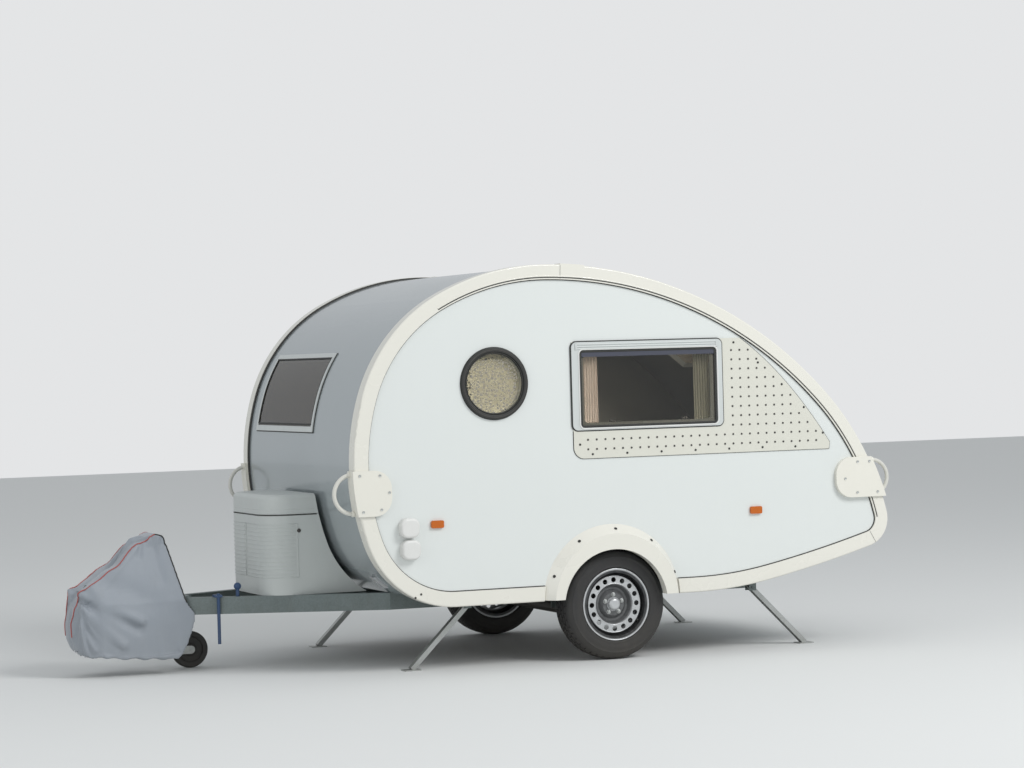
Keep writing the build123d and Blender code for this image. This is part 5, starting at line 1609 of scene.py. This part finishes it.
@dataclass(frozen=True)
class GasLocker:
    """Fluted panels, seam, lip and locks of the gas locker."""

    front_x: float = 1.782
    half_y: float = 0.350
    corner: float = 0.150
    side_end_x: float = 1.615
    front_end_y: float = 0.022
    rows: int = 12
    flutes_z: Pair = (0.516, 0.766)
    flute: float = 0.0046
    edge: float = 0.014
    edge_z: float = 0.018
    edge_bead: float = 0.0034
    seam_z: float = 0.835
    body_gap: float = 0.030
    seam: tuple = (
        ("locker_seal", -0.0025, -0.0008, 0.0028, 1, SEAL_BLACK, "gas_locker_box", BODY),
        ("locker_lid_lip", 0.0065, -0.0005, 0.0038, 2, LOCKER_GREY, "gas_locker_lid", "locker_lid"),
        ("locker_lid_bead", 0.0300, -0.0024, 0.0038, 2, LOCKER_GREY, "gas_locker_lid", "locker_lid"),
    )
    lock: Pair = (1.593, 0.748)

    def build(self) -> None:
        """Makes the panels on both corners, and what follows the seam."""
        for side, sign in SIDES:
            self._panel(side, sign)
        self._seam()
        self._locks()

    def _plan(self, sign: int, front_y: float, side_x: float, z: float, out: float = 0.0) -> list[Vector]:
        """Line round one front corner at a height.

        Args:
            sign: 1 for the left corner and -1 for the right one.
            front_y: Where it starts, on the front face.
            side_x: Where it ends, on the side face.
            z: Height of the line.
            out: Distance outside the wall.

        Returns:
            Its points.
        """
        points = [at(self.front_x + out, sign * front_y, z)]
        middle_x, middle_y = self.front_x - self.corner, self.half_y - self.corner
        for step in range(13):
            angle = math.pi / 2 * step / 12
            reach = self.corner + out
            ahead, aside = reach * math.cos(angle), reach * math.sin(angle)
            points.append(at(middle_x + ahead, sign * (middle_y + aside), z))
        points.append(at(side_x, sign * (self.half_y + out), z))
        return points

    def _panel(self, side: str, sign: int) -> None:
        """Rows of flutes inside a thin border."""
        low, high = self.flutes_z
        pace = (high - low) / (self.rows - 1)
        lines = [self._plan(sign, self.front_end_y, self.side_end_x, low + row * pace, -0.0006)
                 for row in range(self.rows)]
        parts = [tube(line, self.flute, sides=1) for line in lines]
        foot, head = (self._plan(sign, self.front_end_y - self.edge, self.side_end_x - self.edge, z)
                      for z in (low - self.edge_z, high + self.edge_z))
        parts.append(tube([*foot, *reversed(head)], self.edge_bead, closed=True, sides=1))
        dressed(joined(parts), f"locker_flutes_{side}", LOCKER_GREY, angle=60)

    def _around(self, z: float, out: float) -> list[Vector]:
        """Line round the whole front at a height, from one side face to the other."""
        back = OUTLINE.at_height(True, z)[0] + self.body_gap
        left = self._plan(1, 0.02, back, z, out)
        right = self._plan(-1, 0.02, back, z, out)
        return [*reversed(left), *right]

    def _seam(self) -> None:
        """Dark seal in the seam, and the rolled lip and bead of the lid above it."""
        for name, up, out, radius, sides, finish, slot, body in self.seam:
            line = tube(self._around(self.seam_z + up, out), radius, sides=sides)
            dressed(line, name, finish, body, angle=60)

    def _locks(self) -> None:
        """Round key lock in each side face."""
        parts = []
        x, z = self.lock
        for sign in (1, -1):
            y = sign * self.half_y
            disc = rod(at(x, y - sign * 0.001, z), at(x, y + sign * 0.0035, z), 0.011, 32)
            parts.append(bevelled(disc, 0.001, 2))
            slit = cube((-0.0008, -0.0002, -0.005), (0.0008, 0.0006, 0.005))
            slit.data.transform(Matrix.Translation(at(x, y + sign * 0.0036, z)))
            parts.append(slit)
        dressed(joined(parts), "locker_locks", DARK_STEEL, angle=40)


@dataclass(frozen=True)
class Crease:
    """Fold of the hood: a ridge, or a valley where its depth is below zero."""

    start: Point
    end: Point
    width: float
    depth: float

    def at_point(self, spot: Vector) -> float:
        """Height of the fold at a point of the cloth."""
        start, end = at(*self.start), at(*self.end)
        along = end - start
        share = min(1.0, max(0.0, (spot - start).dot(along) / along.length_squared))
        apart = (spot - start - along * share).length
        return self.depth * math.exp(-(apart / self.width) ** 2)


@dataclass(frozen=True)
class CouplingHood:
    """Cloth hood over the coupling: simulated cloth with folds, and piping along its seams."""

    side: tuple = ((2.231, 0.077), (2.161, 0.160), (2.112, 0.290), (2.118, 0.330), (2.160, 0.383),
                   (2.200, 0.548), (2.240, 0.712), (2.267, 0.741), (2.311, 0.754), (2.362, 0.733),
                   (2.417, 0.721), (2.457, 0.696), (2.537, 0.609), (2.603, 0.580), (2.743, 0.478),
                   (2.784, 0.386), (2.806, 0.300), (2.803, 0.220), (2.779, 0.177), (2.740, 0.140),
                   (2.672, 0.117), (2.562, 0.099))
    half_y: float = 0.170
    shoulder_z: float = 0.400
    top_z: float = 0.754
    top_y: Pair = (-0.152, 0.050)
    nose_x: float = 2.806
    nose_half_y: float = 0.070
    nose_taper: float = 0.170
    cell: float = 0.010
    thick: float = 0.0022
    held_z: Pair = (0.115, 0.735)
    held_share: float = 0.75
    ripple: float = 0.004
    ripple_z: Pair = (0.09, 0.23)
    open_z: Pair = (0.20, 0.425)
    open_margin: float = 0.014
    hem: Pair = (2.750, 0.06)
    piping: float = 0.0034
    swing: Point = (2.235, -0.125, 0.264)
    swing_z: float = 0.314
    sag: float = 0.020
    post_room: float = 0.085
    frames: int = 18
    creases: tuple = (
        Crease((2.755, 0.10, 0.462), (2.420, 0.17, 0.300), 0.019, 0.022),
        Crease((2.750, 0.11, 0.425), (2.430, 0.17, 0.258), 0.022, -0.018),
        Crease((2.745, 0.12, 0.395), (2.520, 0.17, 0.180), 0.018, 0.020),
        Crease((2.755, 0.11, 0.350), (2.600, 0.15, 0.150), 0.018, -0.012),
        Crease((2.610, 0.13, 0.520), (2.370, 0.16, 0.400), 0.060, -0.014),
        Crease((2.330, 0.06, 0.740), (2.290, 0.14, 0.520), 0.026, -0.007),
        Crease((2.400, 0.06, 0.715), (2.405, 0.09, 0.650), 0.014, -0.009),
        Crease((2.755, -0.10, 0.462), (2.420, -0.17, 0.290), 0.020, 0.013),
        Crease((2.750, -0.11, 0.425), (2.430, -0.17, 0.250), 0.022, -0.012),
        Crease((2.745, -0.12, 0.395), (2.500, -0.17, 0.170), 0.018, 0.012),
        Crease((2.610, -0.15, 0.520), (2.370, -0.16, 0.400), 0.060, -0.012),
        Crease((2.500, -0.05, 0.660), (2.740, -0.02, 0.470), 0.050, -0.014),
        Crease((2.380, -0.05, 0.735), (2.420, -0.05, 0.720), 0.030, 0.008),
        Crease((2.800, 0.02, 0.380), (2.790, 0.03, 0.190), 0.018, -0.010),
    )

    def build(self) -> None:
        """Makes the cloth and its piping."""
        form = self._form()
        for _ in range(2):
            self._fold(form, 0.6)
        self._settle(form)
        form = modified(form, "SMOOTH", factor=0.4, iterations=1)
        self._open_up(form)
        pipes = self._piping(form)
        modified(form, "SOLIDIFY", thickness=self.thick, offset=-1)
        self._clear_wheel(form)
        hood = dressed(form, "hood_cloth", HOOD_CLOTH, angle=180)
        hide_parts("coupling_cover")

    def _form(self) -> Thing:
        """Closed body of the hood: the side outline narrowed upwards and towards the nose."""
        obj = loop([at(x, -self.half_y, z) for x, z in self.side])
        extruded(obj, (0, 2 * self.half_y, 0))
        rise = self.top_z - self.shoulder_z
        bend, narrow = self.nose_x - self.nose_taper, self.half_y - self.nose_half_y
        cuts = []
        for sign, edge in ((1, self.top_y[1]), (-1, self.top_y[0])):
            shoulder = at(0, sign * self.half_y, self.shoulder_z)
            cuts.append((shoulder, (0, sign * rise, self.half_y - sign * edge)))
        for sign in (1, -1):
            cuts.append((at(bend, sign * self.half_y, 0), (narrow, sign * self.nose_taper, 0)))
        for place, normal in cuts:
            with editing(obj, whole=True):
                bpy.ops.mesh.bisect(plane_co=place, plane_no=Vector(normal).normalized(), use_fill=True,
                                    clear_outer=True)
        modified(cleaned(obj), "REMESH", mode="VOXEL", voxel_size=self.cell)
        return modified(obj, "SMOOTH", factor=0.5, iterations=7)

    def _fold(self, obj: Thing, share: float) -> None:
        """Moves the cloth out to its ridges and in to its valleys, and ripples its foot."""
        low, high = self.ripple_z
        mesh = obj.data
        moves = []
        for vertex in mesh.vertices:
            spot = vertex.co
            wave = math.sin(60 * spot.x + 17 * spot.y) * max(0.0, 1 - (spot.z - low) / (high - low))
            moves.append(sum(crease.at_point(spot) for crease in self.creases) + self.ripple * wave)
        for vertex, move in zip(mesh.vertices, moves):
            vertex.co += vertex.normal * move * share
        mesh.update()

    def _settle(self, obj: Thing) -> None:
        """Lets the cloth hang between its ridges, and keeps it near its modelled place."""
        group = obj.vertex_groups.new(name="held")
        ridges = [crease for crease in self.creases if crease.depth > 0]
        post = at(self.swing[0], self.swing[1], 0)
        low, high = self.held_z
        for vertex in obj.data.vertices:
            spot = vertex.co
            ridge = max(crease.at_point(spot) / crease.depth for crease in ridges)
            near_post = math.hypot(spot.x - post.x, spot.y - post.y) < self.post_room
            if spot.z > high or spot.z < low or ridge > self.held_share or near_post:
                group.add([vertex.index], 1.0, "REPLACE")
        rest = [vertex.co.copy() for vertex in obj.data.vertices]
        simulated(obj, self.frames, 1.0, vertex_group_mass=group.name, quality=5, mass=0.25,
                  tension_stiffness=12, compression_stiffness=12, shear_stiffness=4, bending_stiffness=0.15,
                  shrink_min=-0.035, uniform_pressure_force=0.12)
        kept_near(obj, rest, lambda home: self.sag)
        obj.vertex_groups.clear()

    def _open_up(self, obj: Thing) -> None:
        """Takes away what closed the hood below and behind."""
        hem_x, back_x = self.hem[0] + AXLE_X, self.swing[0] + AXLE_X
        inside = self.half_y - self.open_margin

        def gone(face: bmesh.types.BMFace) -> bool:
            spot = face.calc_center_median()
            below = face.normal.z < -0.55 and spot.z < self.open_z[0]
            behind = face.normal.x < -0.6 and spot.z < self.open_z[1] and spot.x < back_x
            return ((below or behind) and abs(spot.y) < inside) or (spot.x < hem_x and spot.z < self.hem[1])
        with editing(obj):
            pick(obj, gone)
            bpy.ops.mesh.delete(type="FACE")
            bpy.ops.mesh.select_all(action="DESELECT")

    def _clear_wheel(self, obj: Thing) -> None:
        """Cuts the cloth back where the jockey wheel swings round under it."""
        x, y, reach = self.swing
        post = rod(at(x, y, -0.02), at(x, y, self.swing_z), reach, 96)
        modified(obj, "BOOLEAN", operation="DIFFERENCE", solver="EXACT", object=post)
        bpy.data.objects.remove(post)

    def _edge_y(self, x: float, z: float) -> float:
        """Half width of the form at a place of its left side."""
        rise, bend = self.top_z - self.shoulder_z, self.nose_x - self.nose_taper
        slope = max(0.0, z - self.shoulder_z) * (self.half_y - self.top_y[1]) / rise
        nose = max(0.0, x - bend) * (self.half_y - self.nose_half_y) / self.nose_taper
        return self.half_y - max(slope, nose)

    def _seated(self, obj: Thing, spots: Sequence[Point], lift: float) -> list[Vector]:
        """Points moved on to the cloth, and lifted a little off it.

        Args:
            obj: The cloth.
            spots: Corners of the line, ahead of the axle.
            lift: Distance off the cloth.

        Returns:
            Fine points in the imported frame.
        """
        fine = []
        for first, second in zip(spots, spots[1:]):
            pieces = max(2, round((Vector(second) - Vector(first)).length / 0.012))
            fine += [Vector(first).lerp(Vector(second), n / pieces) for n in range(pieces)]
        found = []
        for spot in [*fine, Vector(spots[-1])]:
            hit, place, normal, _ = obj.closest_point_on_mesh(at(*spot))
            if hit:
                found.append(place + normal * lift)
        return found

    def _piping(self, obj: Thing) -> list[Thing]:
        """Red piping along both seams of the top, and dark piping behind."""
        left = [(x, self._edge_y(x, z), z) for x, z in self.side[8:18]]
        rear = [(x + 0.006, self._edge_y(x, z) - 0.002, z) for x, z in self.side[4:9]]
        edge = -self.top_y[0]
        right = []
        for x, z in self.side[4:18]:
            right.append((x, -min(edge + max(0.0, self.top_z - z) * 0.05, self._edge_y(x, 0)), z))
        made = []
        lines = (("left", left, RED_PIPING), ("rear", rear, SEAL_BLACK), ("right", right, RED_PIPING))
        for name, line, finish in lines:
            cord = tube(self._seated(obj, line, 0.0012), self.piping, sides=2)
            made.append(dressed(cord, f"hood_piping_{name}", finish, angle=60))
        return made


@dataclass(frozen=True)
class Cabin:
    """Mattress and the blind under the top of each side window."""

    frames: int = 20
    cell: float = 0.018
    puff: float = 0.012
    give: float = 0.002
    top_z: float = 0.75
    blind_x: Pair = (-0.613, 0.178)
    blind_y: Pair = (0.9742, 0.9754)
    blind_z: Pair = (1.640, 1.664)

    def build(self) -> None:
        """Makes the pieces inside."""
        self._mattress()
        for side, sign in SIDES:
            near, far = sorted(sign * y for y in self.blind_y)
            (rear, front), (low, high) = self.blind_x, self.blind_z
            blind = cube(at(rear, near, low), at(front, far, high))
            dressed(blind, f"window_top_band_{side}", BLIND_GREY)

    def _mattress(self) -> None:
        """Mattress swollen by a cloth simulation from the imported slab."""
        pad = merged_copy("mattress")
        modified(pad, "REMESH", mode="VOXEL", voxel_size=self.cell)
        modified(pad, "SMOOTH", factor=0.5, iterations=3)
        rest = [vertex.co.copy() for vertex in pad.data.vertices]
        simulated(pad, self.frames, 0.0, quality=3, uniform_pressure_force=4)
        kept_near(pad, rest, lambda home: self.puff if home.z > self.top_z else self.give)
        dressed(pad, "mattress_cover", BED_CLOTH, angle=180)
        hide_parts("mattress")


@dataclass(frozen=True)
class Curtains:
    """Gathered curtains at the ends of both side windows."""

    hung_y: float = 0.9317
    low_z: float = 1.267
    high_z: float = 1.668
    depth: float = 0.0046
    thick: float = 0.0007
    folds: int = 6
    columns: int = 72
    rows: int = 18
    places: tuple = (("front", 0.070, 0.160, CURTAIN_ROSE), ("rear", -0.600, -0.505, CURTAIN_SAGE))

    def build(self) -> None:
        """Makes the four curtains."""
        for side, sign in SIDES:
            for name, low, high, finish in self.places:
                self._curtain(f"curtain_{name}_{side}", sign, low, high, finish)

    def _curtain(self, name: str, sign: int, low: float, high: float, finish: Finish) -> None:
        """One curtain: a fine grid laid in waves.

        Args:
            name: Its plain name.
            sign: 1 for the left side and -1 for the right one.
            low: Its rear limit.
            high: Its front limit.
            finish: Its cloth.
        """
        bpy.ops.object.select_all(action="DESELECT")
        bpy.ops.mesh.primitive_grid_add(x_subdivisions=self.columns, y_subdivisions=self.rows, size=1)
        obj = settled()
        shift = 1.7 * (low + 1)
        for vertex in obj.data.vertices:
            u, v = vertex.co.x + 0.5, vertex.co.y + 0.5
            phase = math.tau * self.folds * u + shift + 0.9 * math.sin(2.3 * v + 3 * shift)
            wave = math.sin(phase) * (0.75 + 0.25 * math.sin(5 * u + shift)) + 0.18 * math.sin(2.1 * phase)
            vertex.co = at(low + u * (high - low), sign * (self.hung_y + self.depth * wave * (0.8 + 0.2 * v)),
                           self.low_z + v * (self.high_z - self.low_z))
        cleaned(obj)
        dressed(obj, name, finish, angle=180)
        modified(obj, "SOLIDIFY", thickness=self.thick, offset=0)
        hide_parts("curtains")


def patch(ahead: bool, inset: float, rise: float, widths: Sequence[float], heights: Sequence[float]) -> Thing:
    """Curved plate that follows the skin of one end.

    Args:
        ahead: True for the front end.
        inset: Distance of its back inside the outline.
        rise: Its thickness.
        widths: Its limits across the vehicle.
        heights: Its limits in height.

    Returns:
        The plate.
    """
    turns = [abs(math.degrees(OUTLINE.at_height(ahead, z, inset)[2])) for z in heights]
    low, high = min(widths), max(widths)
    section = [(inset, low), (inset, high), (inset - rise, high), (inset - rise, low)]
    return OUTLINE.strip(ahead, section, max(turns), min(turns))


@dataclass(frozen=True)
class Tail:
    """Bezels, lenses and division lines of the rear lamps, the blank plate and its light."""

    skin: float = 0.012
    face: float = -0.0095
    lamp_y: Pair = (0.690, 0.860)
    lamp_z: Pair = (0.655, 0.800)
    bezel: float = 0.008
    margin: float = 0.004
    lenses: tuple = (("amber", AMBER, (0.763, 0.797)), ("clear", CLEAR_LENS, (0.658, 0.692)))
    lines_z: tuple = (0.7605, 0.728, 0.6945)
    line: float = 0.0012
    plate_half_y: float = 0.258
    plate_z: Pair = (0.700, 0.810)
    light_half_y: float = 0.055
    light_z: Pair = (0.828, 0.850)

    def build(self) -> None:
        """Makes both lamps' pieces and the plate."""
        for side, sign in SIDES:
            self._lamp(side, sign)
        plate = patch(False, 0.0085, 0.0022, (-self.plate_half_y, self.plate_half_y), self.plate_z)
        dressed(bevelled(plate, 0.0008, 2), "blank_plate", CAP_WHITE, angle=35)
        light = patch(False, self.skin, 0.018, (-self.light_half_y, self.light_half_y), self.light_z)
        dressed(bevelled(light, 0.004, 3), "plate_light", BLACK_PLASTIC, angle=35)

    def _lamp(self, side: str, sign: int) -> None:
        """Bezel, lenses and lines of one lamp."""
        (near, far), (low, high) = self.lamp_y, self.lamp_z
        outer = (sign * (near - self.bezel), sign * (far + self.bezel))
        bezel = patch(False, self.skin, 0.013, outer, (low - self.bezel, high + self.bezel))
        dressed(bevelled(bezel, 0.003, 2), f"lamp_bezel_{side}", BLACK_PLASTIC, angle=35)
        inner = (sign * (near + self.margin), sign * (far - self.margin))
        for name, finish, heights in self.lenses:
            lens = bevelled(patch(False, self.face, 0.0025, inner, heights), 0.001, 2)
            dressed(lens, f"lamp_{name}_{side}", finish, angle=35)
        lines = [patch(False, self.face, 0.0014, inner, (z - self.line, z + self.line)) for z in self.lines_z]
        dressed(joined(lines), f"lamp_lines_{side}", SEAL_BLACK)


@dataclass(frozen=True)
class Door:
    """Seal round the entrance door, and its lock."""

    x_range: Pair = (0.442, 0.982)
    z_range: Pair = (0.455, 1.830)
    top: float = 0.120
    foot: float = 0.020
    wall_y: float = -0.968
    gap: float = 0.004
    lock: Pair = (0.530, 1.150)

    def build(self) -> None:
        """Makes the seal and the lock."""
        seal = tube(self._round(), 0.0036, closed=True, sides=2)
        dressed(seal, "door_seal", SEAL_BLACK, angle=60)
        (x, z), y = self.lock, self.wall_y
        plate = bevelled(rod(at(x, y + 0.001, z), at(x, y - 0.0035, z), 0.015, 32), 0.001, 2)
        barrel = bevelled(rod(at(x, y, z), at(x, y - 0.0055, z), 0.009, 24), 0.0008, 2)
        dressed(joined([plate, barrel]), "door_lock", ZINC, "door", angle=40)

    def _round(self) -> list[Vector]:
        """Line round the door's edge, with wide corners above and tight ones below."""
        points = []
        for quarter, (ahead, up) in enumerate(((1, 1), (-1, 1), (-1, -1), (1, -1))):
            radius = self.top if up > 0 else self.foot
            x, z = self.x_range[ahead > 0] - ahead * radius, self.z_range[up > 0] - up * radius
            for step in range(9):
                angle = math.pi / 2 * (quarter + step / 8)
                reach = radius + self.gap
                spot = at(x + reach * math.cos(angle), self.wall_y - 0.0003, z + reach * math.sin(angle))
                points.append(spot)
        return points


def main() -> None:
    """Builds the scene piece by piece."""
    logging.basicConfig(level=logging.INFO, format="%(name)s: %(message)s")
    Studio().build()
    dress_parts()
    for assembly in (EdgeTrims, DimplePanel, SideWindow, EndWindows, Portholes, CornerFittings, ArchScrews,
                     Wheels, GasLocker, CouplingHood, Cabin, Curtains, Tail, Door):
        assembly().build()


if __name__ == "__main__":
    main()
